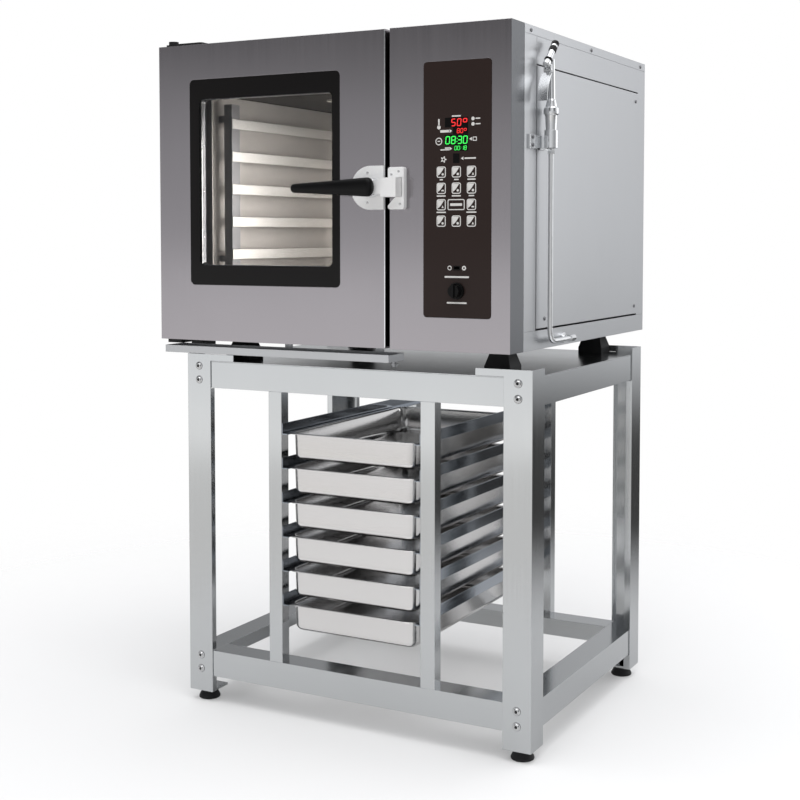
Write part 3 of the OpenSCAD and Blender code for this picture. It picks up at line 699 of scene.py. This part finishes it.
def add_piece(name: str, shell: Shell, finish: Finish, body: str = STATIC_BODY,
              stands_for: Sequence[str] = (), slot: Optional[str] = None, smooth: float = 35.0) -> None:
    """Put a surface in the scene as a piece that rides on a body.

    Args:
        name: the piece's name.
        shell: the surface in oven millimetres.
        finish: its finish.
        body: the CAD body that it rides on.
        stands_for: CAD nodes that it replaces.
        slot: the record's material slot; not used.
        smooth: the angle in degrees above which an edge stays sharp.
    """
    mesh = bpy.data.meshes.new(name)
    mesh.from_pydata(YARD.metres(shell.points).tolist(), [], shell.quads.tolist() + shell.tris.tolist())
    mesh.polygons.foreach_set("use_smooth", np.ones(len(mesh.polygons), bool))
    mesh.set_sharp_from_angle(angle=math.radians(smooth))
    mesh.materials.append(material(finish))
    mesh.update()
    piece = bpy.data.objects.new(name, mesh)
    bpy.context.scene.collection.objects.link(piece)
    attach(piece, body)
    if stands_for:
        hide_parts(*stands_for)
    LOG.info("piece %s: %d faces on %s", name, len(mesh.polygons), body)


def dress(finish: Finish, *nodes: str) -> None:
    """Give CAD nodes a finish."""
    for node in nodes:
        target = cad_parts[node]
        if not target.material_slots:
            target.data.materials.append(None)
        for place in target.material_slots:
            place.material = material(finish)
        LOG.info("node %s: %s", node, finish.name)


# ---------- sub-assemblies ----------


@dataclass
class PanStand:
    """Open stand with its rack, six pans, bolts and levelling feet."""

    pans: int = 6
    rim: float = 11.0
    wall: float = 1.5
    taper: float = 1.5
    bend: float = 12.0
    corner: float = 30.0
    head_r: float = 8.2
    bolt_x: float = 31.0
    bolt_z: tuple = (74.0, 105.0, 730.0, 761.0)
    finishes: dict = field(default_factory=lambda: {
        "stand_legs": STAND_STEEL_Z, "rack_posts": STAND_STEEL_Z, "stand_top_rails": STAND_STEEL_X,
        "stand_bottom_rails": STAND_STEEL_X, "stand_top_plate": STAND_STEEL_X, "rack_runners": RUNNER_PAINTED_REFLECTION_STEEL})

    def pan(self, number: int) -> None:
        """One pan: a rounded rectangle carried through its section.

        The section runs from the middle of the underside, round the bottom edge, up the wall, under and over
        the rolled rim, and down the inside again, each ring with its own half sizes and corner radius.
        """
        node = f"gn_pan_{number}"
        low, high = YARD.box(node)
        middle, half = (low + high) / 2, (high - low) / 2
        edge, out, wall_in = half[0], half[0] - self.rim, half[0] - self.rim - self.wall
        base, lip_z, inner = low[2], high[2] - 2, self.bend - self.wall
        turn = np.linspace(0, np.pi / 2, 6)
        outside = np.stack([out - self.taper - self.bend * (1 - np.sin(turn)),
                            base + self.bend * (1 - np.cos(turn))], -1)
        lip = [[out, lip_z - 5], [out + 1.5, lip_z - 0.6], [out + 3.5, lip_z], [edge - 2.5, lip_z],
               [edge - 0.6, lip_z - 0.2], [edge, lip_z + 0.8], [edge - 0.8, lip_z + 1.8],
               [edge - 3, lip_z + 2], [out + 3, lip_z + 2], [out + 0.6, lip_z + 1.4], [wall_in, lip_z - 2]]
        inside = np.stack([wall_in - self.taper - inner * (1 - np.cos(turn)),
                           base + self.wall + inner * (1 - np.sin(turn))], -1)
        centre = out - 60
        section = np.concatenate([[[centre, base]], outside, lip, inside, [[centre, base + self.wall]]])
        drawn_in = edge - section[:, 0]
        corner = np.maximum(self.corner - drawn_in * 0.75, 8.0)
        rings = rounded_rectangle(half[0] - drawn_in, half[1] - drawn_in, corner, 8)
        shell = loft(placed(rings, section[:, 1], (middle[0], middle[1], 0), Axis.Z))
        add_piece(f"pan_{number}_pressed", shell, PAN_STEEL, f"pan_{number}", [node], "pan_steel", 50.0)

    def bolts(self) -> None:
        """Sixteen domed bolts on washers, with a black painted shade disc in each socket and a dark painted
        shade ring round each washer: turned parts, copied to each hole of the front and the rear.
        """
        r = self.head_r
        head = [[0, 0], [r, 0], [r, 1.2], [6.3, 1.3], [6.1, 2.6], [4.6, 4.1], [3.2, 4.4], [3, 1.8], [0, 1.8]]
        # painted shade: a black disc at the bottom of the socket's recess
        socket = [[0, 1.75], [2.95, 1.75], [2.9, 2.2], [0, 2.2]]
        # painted shade: a dark ring just past the washer's edge
        shade_ring = [[r - 2, 0.01], [r + 0.8, 0.01], [r + 0.7, 0.45], [r - 2, 0.4]]
        low, high = YARD.box("stand_legs")
        spots = [(x, 0, z) for x in (low[0] + self.bolt_x, high[0] - self.bolt_x) for z in self.bolt_z]
        for name, profile, curve, finish, nodes, slot in (
                ("stand_bolt_heads", head, (0.4, 3), BOLT_STEEL, ["stand_bolts"], "fastener_steel"),
                ("stand_bolt_socket_shades", socket, (0.1, 2), BLACK_RUBBER, (), "black_rubber"),
                ("stand_bolt_shade_rings", shade_ring, (0.1, 2), SCREW_STEEL, (), "fastener_steel")):
            both = [turned(np.array(profile) * [1, way], (0, y, 0), Axis.Y, 28, *curve)
                    for y, way in ((low[1], -1), (high[1], 1))]
            add_piece(name, join(both).copies(spots), finish, STATIC_BODY, nodes, slot)

    def feet(self) -> None:
        """Four levelling feet: a ribbed flare and a threaded stem, whose radius ripples with the height."""
        flare = [[0, 0], [22.6, 0], [24, 1.5], [24, 4.5], [22.4, 7.5], [18.6, 15], [17.4, 21.6], [12, 22.4]]
        core, ridge, pitch, top = 4.6, 0.35, 1.5, 58
        rise = np.linspace(17, top, 84)
        thread = np.stack([core + ridge * np.cos(rise * 2 * np.pi / pitch), rise], -1)
        profile = np.concatenate([eased(flare, 0.8), thread, [[0, top]]])
        for name in ("front_left", "front_right", "rear_left", "rear_right"):
            node = f"levelling_foot_{name}"
            x, y = sum(YARD.box(node))[:2] / 2
            foot = turned(profile, (x, y, 0), Axis.Z, 48, ribs=16, rib=0.12)
            add_piece(f"foot_{name}_moulded", foot, BLACK_RUBBER, f"foot_{name}", [node], "black_rubber")

    def build(self) -> None:
        """Finish the sheet parts that stay as they are, and make the rest of the stand."""
        for node, finish in self.finishes.items():
            dress(finish, node)
        for number in range(1, self.pans + 1):
            self.pan(number)
        self.bolts()
        self.feet()


@dataclass
class Casing:
    """Outer panels, inner cavity, services and the small fittings on them."""

    finishes: dict = field(default_factory=lambda: {
        CASING_STEEL: ("base_tray", "left_panel", "right_panel", "service_cover", "back_panel", "top_lid",
                       "front_frame", "drip_tray"),
        LINER_STEEL: ("cavity_liner",),
        RACK_STEEL: ("cavity_racks",),
        CAVITY_STEEL: ("fan_guard", "door_inner_frame"),
        SHELF_STEEL: ("fan_wheel", "drain_pipe", "exhaust_vent", "steam_pipe"),
        BLACK_RUBBER: ("oven_feet", "door_gasket", "cable_gland"),
        BRACKET_PAINT: ("hinge_brackets",),
        CAST_PLATE: ("latch_keeper", "handle_plate", "latch_cam"),
        CHROME: ("spray_bracket", "hose_elbow"),
        TRIGGER_STEEL: ("spray_trigger",),
        SCREW_STEEL: ("body_screws",),
        WOOL: ("insulation",),
        MOTOR_PAINT: ("fan_motor",),
        HEATER: ("heating_element",),
        LAMP_GLOW: ("cavity_lamp",),
        BRASS: ("water_inlet",),
        BOARD: ("control_board",),
        BLACK_PLASTIC: ("power_knob", "probe_socket"),
        PANEL_GLASS: ("control_glass",),
        DOOR_FACE: ("door_shell",),
        COLUMN_FACE: ("control_column",),
        INNER_PANE: ("door_inner_glass",),
    })

    def build(self) -> None:
        """Finish the nodes."""
        for finish, nodes in self.finishes.items():
            dress(finish, *nodes)


@dataclass
class Door:
    """Door glass, the frame behind it, the handle lever and the small screws of the latch."""

    window: tuple = ((109.0, 986.0), (452.0, 1352.0))
    hub: tuple = (557.0, 0.0, 1150.0)
    lever_y: float = -48.0

    def grip(self) -> None:
        """Lever: superellipse sections that shrink from the hub to the tip and close round at both ends.

        Along the lever the half height falls from 20 to 9 and the half depth from 12 to 7; within an end
        radius both are multiplied by the height of a half circle there.
        """
        tip, hub = (corner[0] for corner in YARD.box("handle_grip"))
        x = (tip + hub) / 2 - (hub - tip) / 2 * np.cos(np.linspace(0, np.pi, 60))
        share = (x - tip) / (hub - tip)
        half_z, half_y = 9.2 + 11.2 * share**1.1, 6.8 + 5.0 * share
        ends = np.clip([(x - tip) / 9.0, (hub - x) / 13.0], 0, 1)
        close = np.maximum(np.sqrt(1 - (1 - ends) ** 2).prod(0), 0.01)
        c, s = circle(40).T
        y = np.sign(c) * np.abs(c) ** 0.72 * (half_y * close**0.6)[:, None]
        z = np.sign(s) * np.abs(s) ** 0.82 * (half_z * close)[:, None]
        lever = loft(np.stack([0 * y + x[:, None], y + self.lever_y, z + self.hub[2]], -1))
        neck = turned([[0, -38], [17, -38], [16, -35.7], [9, -35.2], [9, -34], [0, -34]],
                      self.hub, Axis.Y, 48, 0.8)
        collar = turned([[0, -33.5], [15.5, -33.5], [18.5, -29], [20.5, -14], [0, -13.5]],
                        self.hub, Axis.Y, 48, 1.2)
        add_piece("handle_collar", collar, CHROME, "handle", slot="bright_chrome")
        grip = join([lever, neck])
        add_piece("handle_lever", grip, BLACK_PLASTIC, "handle", ["handle_grip"], "black_plastic", 60.0)

    def spacer(self) -> None:
        """Frame between the panes, a lip down its left side, and three rivets on each of its inner sides."""
        (x0, z0), (x1, z1) = self.window
        middle, half = ((x0 + x1) / 2, (z0 + z1) / 2), ((x1 - x0) / 2 + 3.5, (z1 - z0) / 2 + 3.5)
        line = frame_band(half, 12.0, 4.5, middle, (8.0, 22.0))
        add_piece("glass_spacer", line, SPACER_STEEL, "door", slot="polished_steel")
        lip = bar((x0 - 1, x0 + 3.2), (z0 + 4, z1 - 4), 5.0, 7.6)
        add_piece("glass_spacer_lip", lip, BOLT_STEEL, "door", slot="polished_steel")
        head = [[0, -1], [2.6, -1], [2.4, 0.5], [1.3, 1.1], [0, 1.3]]
        both = [turned(np.array(head) * [1, way], (x, 15, 0), Axis.X, 20, 0.3, 3)
                for x, way in ((x0 + 1, 1), (x1 - 1, -1))]
        rivets = join(both).copies([(0, 0, z) for z in (1252, 1150, 1048)])
        add_piece("spacer_rivets", rivets, CHROME, "door", slot="bright_chrome")

    def painted_edge_highlight(self) -> None:
        """Painted highlight along the edge of the door's sheet beside the gap: a narrow chrome bar over the
        whole height.
        """
        low, high = YARD.box("door_shell")
        strip = bar((high[0] - 2.3, high[0] - 0.15), (low[2] + 2, high[2] - 2), low[1] - 0.15, low[1] + 0.6)
        add_piece("door_painted_edge_highlight", strip, CHROME, "door", slot="bright_chrome")

    def screws(self) -> None:
        """Countersunk screws in the handle plate and the keeper: a shallow dome with a dimple."""
        dome = [[0, 0], [2.9, 0], [2.8, -0.4], [2.2, -0.75], [1.3, -0.8], [1.0, -0.3], [0, -0.3]]
        head = turned(dome, (0, 0, 0), Axis.Y, 24, 0.2, 3)
        plate = head.copies([(540, -5, 1181), (540, -5, 1119)])
        keeper = head.copies([(617, -12, 1182), (600, -12, 1176), (620, -12, 1116)])
        add_piece("handle_plate_screws", plate, BOLT_STEEL, "door", slot="fastener_steel")
        add_piece("keeper_screws", keeper, BOLT_STEEL, slot="fastener_steel")

    def build(self) -> None:
        """Finish the outer pane with its printed border, and make the door's other parts."""
        dress(DoorGlass("door_glass_printed", self.window), "door_outer_glass")
        self.grip()
        self.spacer()
        self.painted_edge_highlight()
        self.screws()


@dataclass
class SprayGun:
    """Hand shower on the right side with its braided hose."""

    axis_x: float = 881.0
    axis_y: float = 154.0
    hose_r: float = 5.3
    cad_hose_r: float = 5.5
    bend: float = 24.0
    strands: int = 6
    lay: float = 1.4
    ripple: float = 0.16

    def handle(self) -> None:
        """Turned handle and bright head tube with the trigger's lugs and pin between them."""
        knee = (self.axis_x, 129, 1399)
        body = [[0, 1234.2], [9.5, 1234.2], [11.3, 1240], [11.3, 1267], [12.8, 1297], [15.6, 1298],
                [15.9, 1303], [15.6, 1311.5], [12.6, 1312.5], [9.8, 1326], [8.2, 1330], [8.0, 1345],
                [6.6, 1400], [6.4, 1410], [0, 1412]]
        tube = [[0, -6], [7.2, -5.6], [7.9, -3], [7.9, 5], [7.0, 7], [7.0, 37], [0, 38]]
        lug = slab(rounded_rectangle(5, 8, 2.0)[0], -1, 1, (0, 136, 1390), 0.3, Axis.X)
        lugs = lug.copies([(self.axis_x - 7, 0, 0), (self.axis_x + 7, 0, 0)])
        pin = turned([[0, -9], [2.6, -9], [2.6, -8], [1.4, -7.9], [1.4, 7.9], [2.6, 8], [2.6, 9], [0, 9]],
                     (self.axis_x, 136, 1386), Axis.X, 20, 0.2, 3)
        gun = [turned(body, (self.axis_x, self.axis_y, 0), Axis.Z, 48, 1.2),
               turned(tube, knee, Axis.UP_BACK, 40, 1.0), lugs, pin]
        add_piece("spray_gun_body", join(gun), CHROME, stands_for=["spray_gun"], slot="bright_chrome")
        collar = turned([[0, 50.5], [7.3, 50.6], [7.3, 55.6], [0, 55.8]], knee, Axis.UP_BACK, 40, 0.4)
        add_piece("spray_head_collar", collar, CHROME, slot="bright_chrome")
        sleeve = [[0, 36], [7.4, 36.2], [7.8, 38], [7.8, 50], [7.2, 51], [0, 51]]
        nozzle = [[0, 55], [7.6, 55.2], [8.4, 64], [7.6, 66], [6.0, 66], [5.6, 64], [0, 64]]
        ring = [[0, 8], [8.3, 8.1], [8.6, 9], [8.6, 12], [8.2, 13], [0, 13]]
        black = [turned(sleeve, knee, Axis.UP_BACK, 96, 0.6, ribs=24, rib=0.2),
                 turned(nozzle, knee, Axis.UP_BACK, 48, 0.6), turned(ring, knee, Axis.UP_BACK, 40, 0.4)]
        add_piece("spray_head_sleeve", join(black), BLACK_PLASTIC, slot="black_plastic")

    def hose(self) -> None:
        """Braided hose: circles carried down, round the bend and back to the elbow.

        The radius ripples with the product of two helices, which is the sum of the strands of a braid.
        """
        low, high = YARD.box("spray_hose")
        top, foot = high[2], low[2] + self.cad_hose_r
        down, round_bend = top - foot - self.bend, self.bend * np.pi / 2
        along = np.linspace(0, down + round_bend + high[1] - self.axis_y - self.bend, 1100)
        turn = np.clip((along - down) / self.bend, 0, np.pi / 2)
        y = self.axis_y + self.bend * (1 - np.cos(turn)) + np.maximum(along - down - round_bend, 0)
        z = top - np.minimum(along, down) - self.bend * np.sin(turn)
        centre = np.stack([np.full_like(along, self.axis_x), y, z], -1)
        side = np.array([1.0, 0, 0])
        up = np.cross(np.stack([0 * turn, np.sin(turn), -np.cos(turn)], -1), side)
        twist, lay = self.strands * even_angles(24), self.lay * along[:, None]
        radius = self.hose_r + self.ripple * np.sin(lay + twist) * np.sin(lay - twist)
        across, rise = (radius[..., None] * circle(24)).transpose(2, 0, 1)
        rings = centre[:, None] + across[..., None] * side + rise[..., None] * up[:, None]
        add_piece("spray_hose_braided", loft(rings), HOSE_BRAID, stands_for=["spray_hose"],
                  slot="bright_chrome", smooth=80.0)
        nut = turned([[0, 0], [7.6, 0], [8.2, 0.8], [8.2, 11], [7.2, 12], [0, 12]],
                     (self.axis_x, self.axis_y, 1218.5), Axis.Z, 6, 0.5)
        add_piece("hose_nuts", nut, CHROME, slot="bright_chrome", smooth=25.0)

    def build(self) -> None:
        """Make the gun and the hose."""
        self.handle()
        self.hose()


LIT_BARS = {"0": "abcdef", "1": "bc", "3": "abcdg", "5": "acdfg", "8": "abcdefg", "o": "abfg"}
BAR_SPOTS = {"a": (0.5, 1), "b": (1, 0.75), "c": (1, 0.25), "d": (0.5, 0), "e": (0, 0.25), "f": (0, 0.75),
             "g": (0.5, 0.5)}


@dataclass
class ControlPanel:
    """Print, displays and keys on the control glass."""

    face: float = -0.6
    lift: float = 0.12
    middle: float = 743.0
    columns: tuple = (708.0, 741.6, 775.0)
    rows: tuple = (1178.7, 1146.2, 1113.5, 1080.7)
    key: tuple = (20.3, 22.4)
    wide_key: int = 7
    line: float = 1.9

    def plate(self, left: float, right: float, low: float, high: float, radius: float = 0.8,
              level: int = 1) -> Shell:
        """A rounded plate between two places across and two heights, `level` layers above the glass."""
        half = ((right - left) / 2, (high - low) / 2)
        outline = rounded_rectangle(*half, min(radius, *half) * 0.999)[0]
        return self.shape(outline, ((left + right) / 2, (low + high) / 2), level)

    def shape(self, outline: Rows, spot: Pair, level: int = 1) -> Shell:
        """A flat plate of any star-shaped outline at a spot."""
        near = self.face - self.lift * level
        return slab(np.asarray(outline, float), near, self.face - 0.01, (spot[0], 0, spot[1]))

    def band(self, half: Pair, radius: float, width: float, spot: Pair) -> Shell:
        """A printed rounded frame on the glass."""
        return frame_band(half, radius, width, spot, (self.face - self.lift, self.face - 0.01))

    def digits(self, text: str, left: float, base: float, height: float, pitch: float) -> Shell:
        """Seven-segment figures: six-sided bars at the places that each figure lights, leaning to the right.

        Args:
            text: figures, with ":" for two dots and "o" for a raised ring.
            left: left edge of the first figure.
            base: lower edge.
            height: height of a figure.
            pitch: distance from one figure to the next.

        Returns:
            The lit bars.
        """
        width, thick, level = height * 0.5, height * 0.13, 3
        end, tip, side = width / 2, (width - thick) / 2, thick / 2
        flat = np.array([[-end, 0], [-tip, side], [tip, side], [end, 0], [tip, -side], [-tip, -side]]) * 0.92
        shells = []
        x = left
        for figure in text:
            if figure == ":":
                for low in (base + height * 0.25, base + height * 0.62):
                    shells.append(self.plate(x, x + thick, low, low + thick, side, level))
                x += thick * 1.9
                continue
            for name in LIT_BARS[figure]:
                across, up = BAR_SPOTS[name]
                spot = (x + across * width, base + side + up * (height - thick))
                shells.append(self.shape(flat if name in "adg" else flat[:, ::-1], spot, level))
            x += pitch
        lean = join(shells)
        lean.points[:, 0] += (lean.points[:, 2] - base) * 0.08
        return lean

    def displays(self) -> None:
        """Black display windows and the lit figures of the four displays."""
        windows = ((716, 767.5, 1267.4, 1286.6), (734, 767.5, 1253.2, 1267.5), (716, 767.5, 1231.8, 1252.6),
                   (736, 767.5, 1220, 1231.9), (734.3, 748.5, 1196, 1215.2))
        red = (("50", 730.6, 1269, 15.4, 12.6), ("o", 756, 1269, 15.4, 12), ("80o", 743, 1255, 9.8, 7.6))
        green = (("08", 717.6, 1233.6, 16.4, 12.6), (":", 741.4, 1233.6, 16.4, 12),
                 ("30", 744.2, 1233.6, 16.4, 12.2), ("00:18", 737.6, 1221.4, 8.8, 6.4))
        black = join([self.plate(*window, radius=1) for window in windows])
        add_piece("display_windows", black, DISPLAY_BLACK, slot="panel_glass")
        add_piece("red_figures", join([self.digits(*row) for row in red]), RED_GLOW)
        add_piece("green_figures", join([self.digits(*row) for row in green]), GREEN_GLOW)

    def symbols(self) -> None:
        """Small printed marks round the displays: dots, bars, arrows, a thermometer, a clock and a fan."""
        ring = circle(28)
        arrow = np.array([[-2.6, 3.6], [3.2, 0], [-2.6, -3.6]])
        fan = (5.0 + 1.8 * np.cos(5 * even_angles(48)))[:, None] * circle(48)
        mid, hub = self.middle, (713.2, 1203.7)
        off, on = (mid - 16, 987), (mid + 16, 987)
        plates = ((731.4, 751.2, 1288, 1290.6), (701, 704.2, 1270, 1285, 1.6), (783.4, 793.8, 1281.8, 1284.2),
                  (783.4, 794.4, 1271, 1273.4), (705.6, 725, 1257.4, 1262.4, 0.6), (716, 726, 1225, 1227.6),
                  (699.6, 705.4, 1239.2, 1241.2), (706.2, 726, 1221.8, 1224.2),
                  (759.6, 784.6, 1203.6, 1206.6), (mid - 27, mid + 27, 967.2, 970.8),
                  (mid - 22, mid + 22, 915.4, 918.8))
        marks = ((ring * 4.0, (702.6, 1268)), (ring * 3.6, (778, 1282.8)), (ring * 3.6, (778, 1272.2)),
                 (ring * 4.6, off), (ring * 4.6, on), (fan, hub), (arrow, (729, 1260)), (arrow, (729, 1225)),
                 (arrow * [-1, 1], (773, 1243)), (arrow * [-1, 1], (754.6, 1205)))
        cores = ((ring * 3.0, off), (ring * 2.0, on), (ring * 2.2, hub))
        bands = [self.band((7.6, 7.6), 7.6, self.line, (702.5, 1240)),
                 self.band((4.6, 4.0), 1.2, 1.5, (782, 1243))]
        shells = [self.plate(*row) for row in plates] + [self.shape(*mark) for mark in marks] + bands
        add_piece("panel_symbols", join(shells), INK)
        dark = join([self.shape(*core, 2) for core in cores])
        add_piece("panel_symbol_cores", dark, PANEL_GLASS, slot="panel_glass")

    def keys(self) -> None:
        """Eleven square keys with a swept corner and a small mark, one wide key, and the bars under them."""
        half = (self.key[0] / 2, self.key[1] / 2)
        t = np.linspace(0, 1, 10)
        sweep = np.stack([-7.6 + 13.6 * t**0.9, -6.6 + 15.2 * t**1.35], -1)
        corner = np.concatenate([[[-8.2, 9.0]], sweep])
        marks = [circle(14) * 2.5, circle(5) * 3.0, [[-2.6, -2.2], [2.6, -2.2], [0, 2.8]],
                 rounded_rectangle(3.0, 1.5, 0.8)[0]]
        spots = [(x, z) for z in self.rows for x in self.columns]
        wide_x, wide_z = spots.pop(self.wide_key)
        shells = [self.band((18.9, 10.9), 3.6, self.line, (wide_x - 0.4, wide_z)),
                  self.plate(728, 754.4, wide_z - 2.6, wide_z + 2.6, 1.0)]
        for number, (x, z) in enumerate(spots):
            shells += [self.band(half, 4.4, self.line, (x, z)), self.shape(corner, (x, z)),
                       self.shape(marks[number % len(marks)], (x + 3.2, z - 4.4))]
        bars = ((0, 0, 7), (1, 0, 10), (2, 0, 18), (0, 1, 20), (1, 1, 20), (2, 1, 12), (0, 2, 21), (2, 2, 22))
        for column, row, width in bars:
            x, z = self.columns[column], self.rows[row] - 15.2
            shells.append(self.plate(x - width / 2, x + width / 2, z - 1.3, z + 1.3))
        add_piece("membrane_keys", join(shells), INK)

    def build(self) -> None:
        """Print the panel."""
        self.displays()
        self.symbols()
        self.keys()


@dataclass
class Studio:
    """Pale floor, soft lights, surroundings and the camera.

    Each band of the room is a row of pairs: a share of the full turn and the brightness there.
    """

    eye: tuple = (1931.4, -2437.0, 1053.0)
    yaw: float = 28.4
    pitch: float = 3.0
    lens: float = 60.98
    shift: float = -0.1175
    walls: tuple = (
        (0.0, 0.40), (0.10, 0.14), (0.172, 0.115), (0.25, 0.16), (0.30, 0.66), (0.37, 0.80),
        (0.415, 0.22), (0.455, 0.14), (0.50, 0.55), (0.58, 0.86), (0.68, 0.90), (0.77, 0.80),
        (0.85, 0.30), (0.92, 0.70), (1.0, 0.45))
    middle: tuple = (
        (0.0, 0.66), (0.10, 0.70), (0.20, 0.70), (0.30, 0.75), (0.40, 0.50), (0.48, 0.35),
        (0.56, 0.60), (0.64, 0.80), (0.74, 0.80), (0.82, 0.55), (0.90, 0.65), (1.0, 0.70))
    under: tuple = (
        (0.0, 0.80), (0.10, 0.96), (0.20, 0.96), (0.30, 0.85), (0.40, 0.55), (0.48, 0.25),
        (0.56, 0.09), (0.66, 0.05), (0.74, 0.09), (0.82, 0.45), (0.90, 0.75), (1.0, 0.80))

    def floor(self) -> None:
        """Flat pale floor, a two by two grid, that fades into the white room away from the middle."""
        x, y = np.meshgrid([-4.6, 0.0, 4.2], [-5.2, 0.0, 3.4])
        points = np.stack([x.ravel(), y.ravel(), np.full(9, -0.0005)], -1)
        mesh = bpy.data.meshes.new("studio_floor")
        mesh.from_pydata(points.tolist(), [], [(0, 1, 4, 3), (1, 2, 5, 4), (3, 4, 7, 6), (4, 5, 8, 7)])
        s = Shader("studio_floor_paint")
        cloud = s.noise((0.7, 0.7, 0.7))
        shown = s.node("ShaderNodeMapRange", {"interpolation_type": "SMOOTHSTEP"}, {
            "Value": s.vector("LENGTH", s.place(), out="Value"),
            "From Min": 0.8, "From Max": 2.2, "To Min": 0.78, "To Max": 0.0})
        mesh.materials.append(s.finish(s.principled({
            "Base Color": s.mix(cloud, (0.92, 0.92, 0.92, 1), (0.95, 0.95, 0.95, 1)),
            "Roughness": 0.7 + cloud * 0.1, "Specular IOR Level": 0.1, "Alpha": shown})))
        piece = bpy.data.objects.new("studio_floor", mesh)
        bpy.context.scene.collection.objects.link(piece)

    def lamp(self, name: str, spot: Spot, target: Spot, size: Pair, power: float,
             tone: Colour = (1, 1, 1)) -> None:
        """A rectangular soft light aimed at a target.

        Args:
            name: the light's name.
            spot: its place in metres.
            target: the place that it faces.
            size: width and height in metres.
            power: power in watts.
            tone: colour of the light.
        """
        data = bpy.data.lights.new(name, "AREA")
        data.shape, data.size, data.size_y = "RECTANGLE", size[0], size[1]
        data.energy, data.color = power, tone
        light = bpy.data.objects.new(name, data)
        light.location = spot
        away = np.asarray(spot, float) - np.asarray(target, float)
        tilt = math.acos(away[2] / np.linalg.norm(away))
        light.rotation_euler = (tilt, 0, math.atan2(away[1], away[0]) + math.pi / 2)
        light.visible_camera = False
        bpy.context.scene.collection.objects.link(light)

    def surroundings(self) -> None:
        """Soft room in three bands, below, level and above, that blend with the height, and a bright ceiling.

        The room is only seen in reflections: straight from the camera the background is plain white.
        """
        s = Shader("studio_room", world=True)
        bpy.context.scene.world = s.owner
        way = s.node("ShaderNodeTexCoord", out="Generated")
        azimuth = s.node("ShaderNodeTexGradient", {"gradient_type": "RADIAL"}, {0: way}, "Fac")
        height = s.node("ShaderNodeSeparateXYZ", inputs={0: way}, out="Z")
        cool, warm = (1.0, 1.01, 1.03), (1.0, 0.985, 0.965)
        bands = []
        for levels, tint in ((self.under, warm), (self.middle, cool), (self.walls, cool)):
            stops = [(share, rgba(tint, light)) for share, light in levels]
            bands.append(s.node("ShaderNodeValToRGB", {"stops": stops}, {0: azimuth}))
        room, level, above = bands
        ceiling = (0.9, 0.9, 0.92, 1)
        for upper, low, high in ((level, -0.14, -0.08), (above, 0.086, 0.142), (ceiling, 0.35, 0.9)):
            share = s.node("ShaderNodeMapRange", inputs={"Value": height, "From Min": low, "From Max": high})
            room = s.mix(share, room, upper)
        lit = s.node("ShaderNodeBackground", inputs={0: room})
        plain = s.node("ShaderNodeBackground", inputs={0: (1, 1, 1, 1)})
        seen = s.node("ShaderNodeLightPath", out="Is Camera Ray")
        s.finish(s.node("ShaderNodeMixShader", inputs={0: seen, 1: lit, 2: plain}))

    def camera(self) -> None:
        """Camera at the front right, at the height of the lower shelves in the oven."""
        data = bpy.data.cameras.new("studio_camera")
        data.sensor_width, data.lens, data.shift_y = 36.0, self.lens, self.shift
        data.clip_end = 200.0
        camera = bpy.data.objects.new("studio_camera", data)
        camera.location = YARD.metres(self.eye)
        camera.rotation_euler = (math.radians(90 - self.pitch), 0, math.radians(self.yaw))
        bpy.context.scene.collection.objects.link(camera)
        bpy.context.scene.camera = camera

    def build(self) -> None:
        """Set up the room."""
        bpy.context.scene.view_settings.view_transform = "Standard"
        self.floor()
        self.surroundings()
        self.camera()
        self.lamp("overhead_softbox", (0.3, -0.6, 3.6), (0, 0, 0.4), (3.6, 3.6), 78.0)
        self.lamp("right_softbox", (2.9, 2.0, 1.7), (0.4, 0.1, 1.0), (2.2, 2.4), 16.0)
        self.lamp("front_fill", (-1.6, -3.2, 0.5), (0, 0, 0.5), (2.4, 0.9), 3.0)
        cavity = YARD.metres((468, 330, 1110))
        self.lamp("cavity_light", cavity, cavity + [-0.4, 0.0, 0.0], (0.40, 0.40), 4.9, (1.0, 0.975, 0.94))


def main() -> None:
    """Build the sub-assemblies in order, then the room."""
    for part in (Casing(), PanStand(), Door(), ControlPanel(), SprayGun(), Studio()):
        LOG.info("building %s", type(part).__name__)
        part.build()


if __name__ == "__main__":
    main()
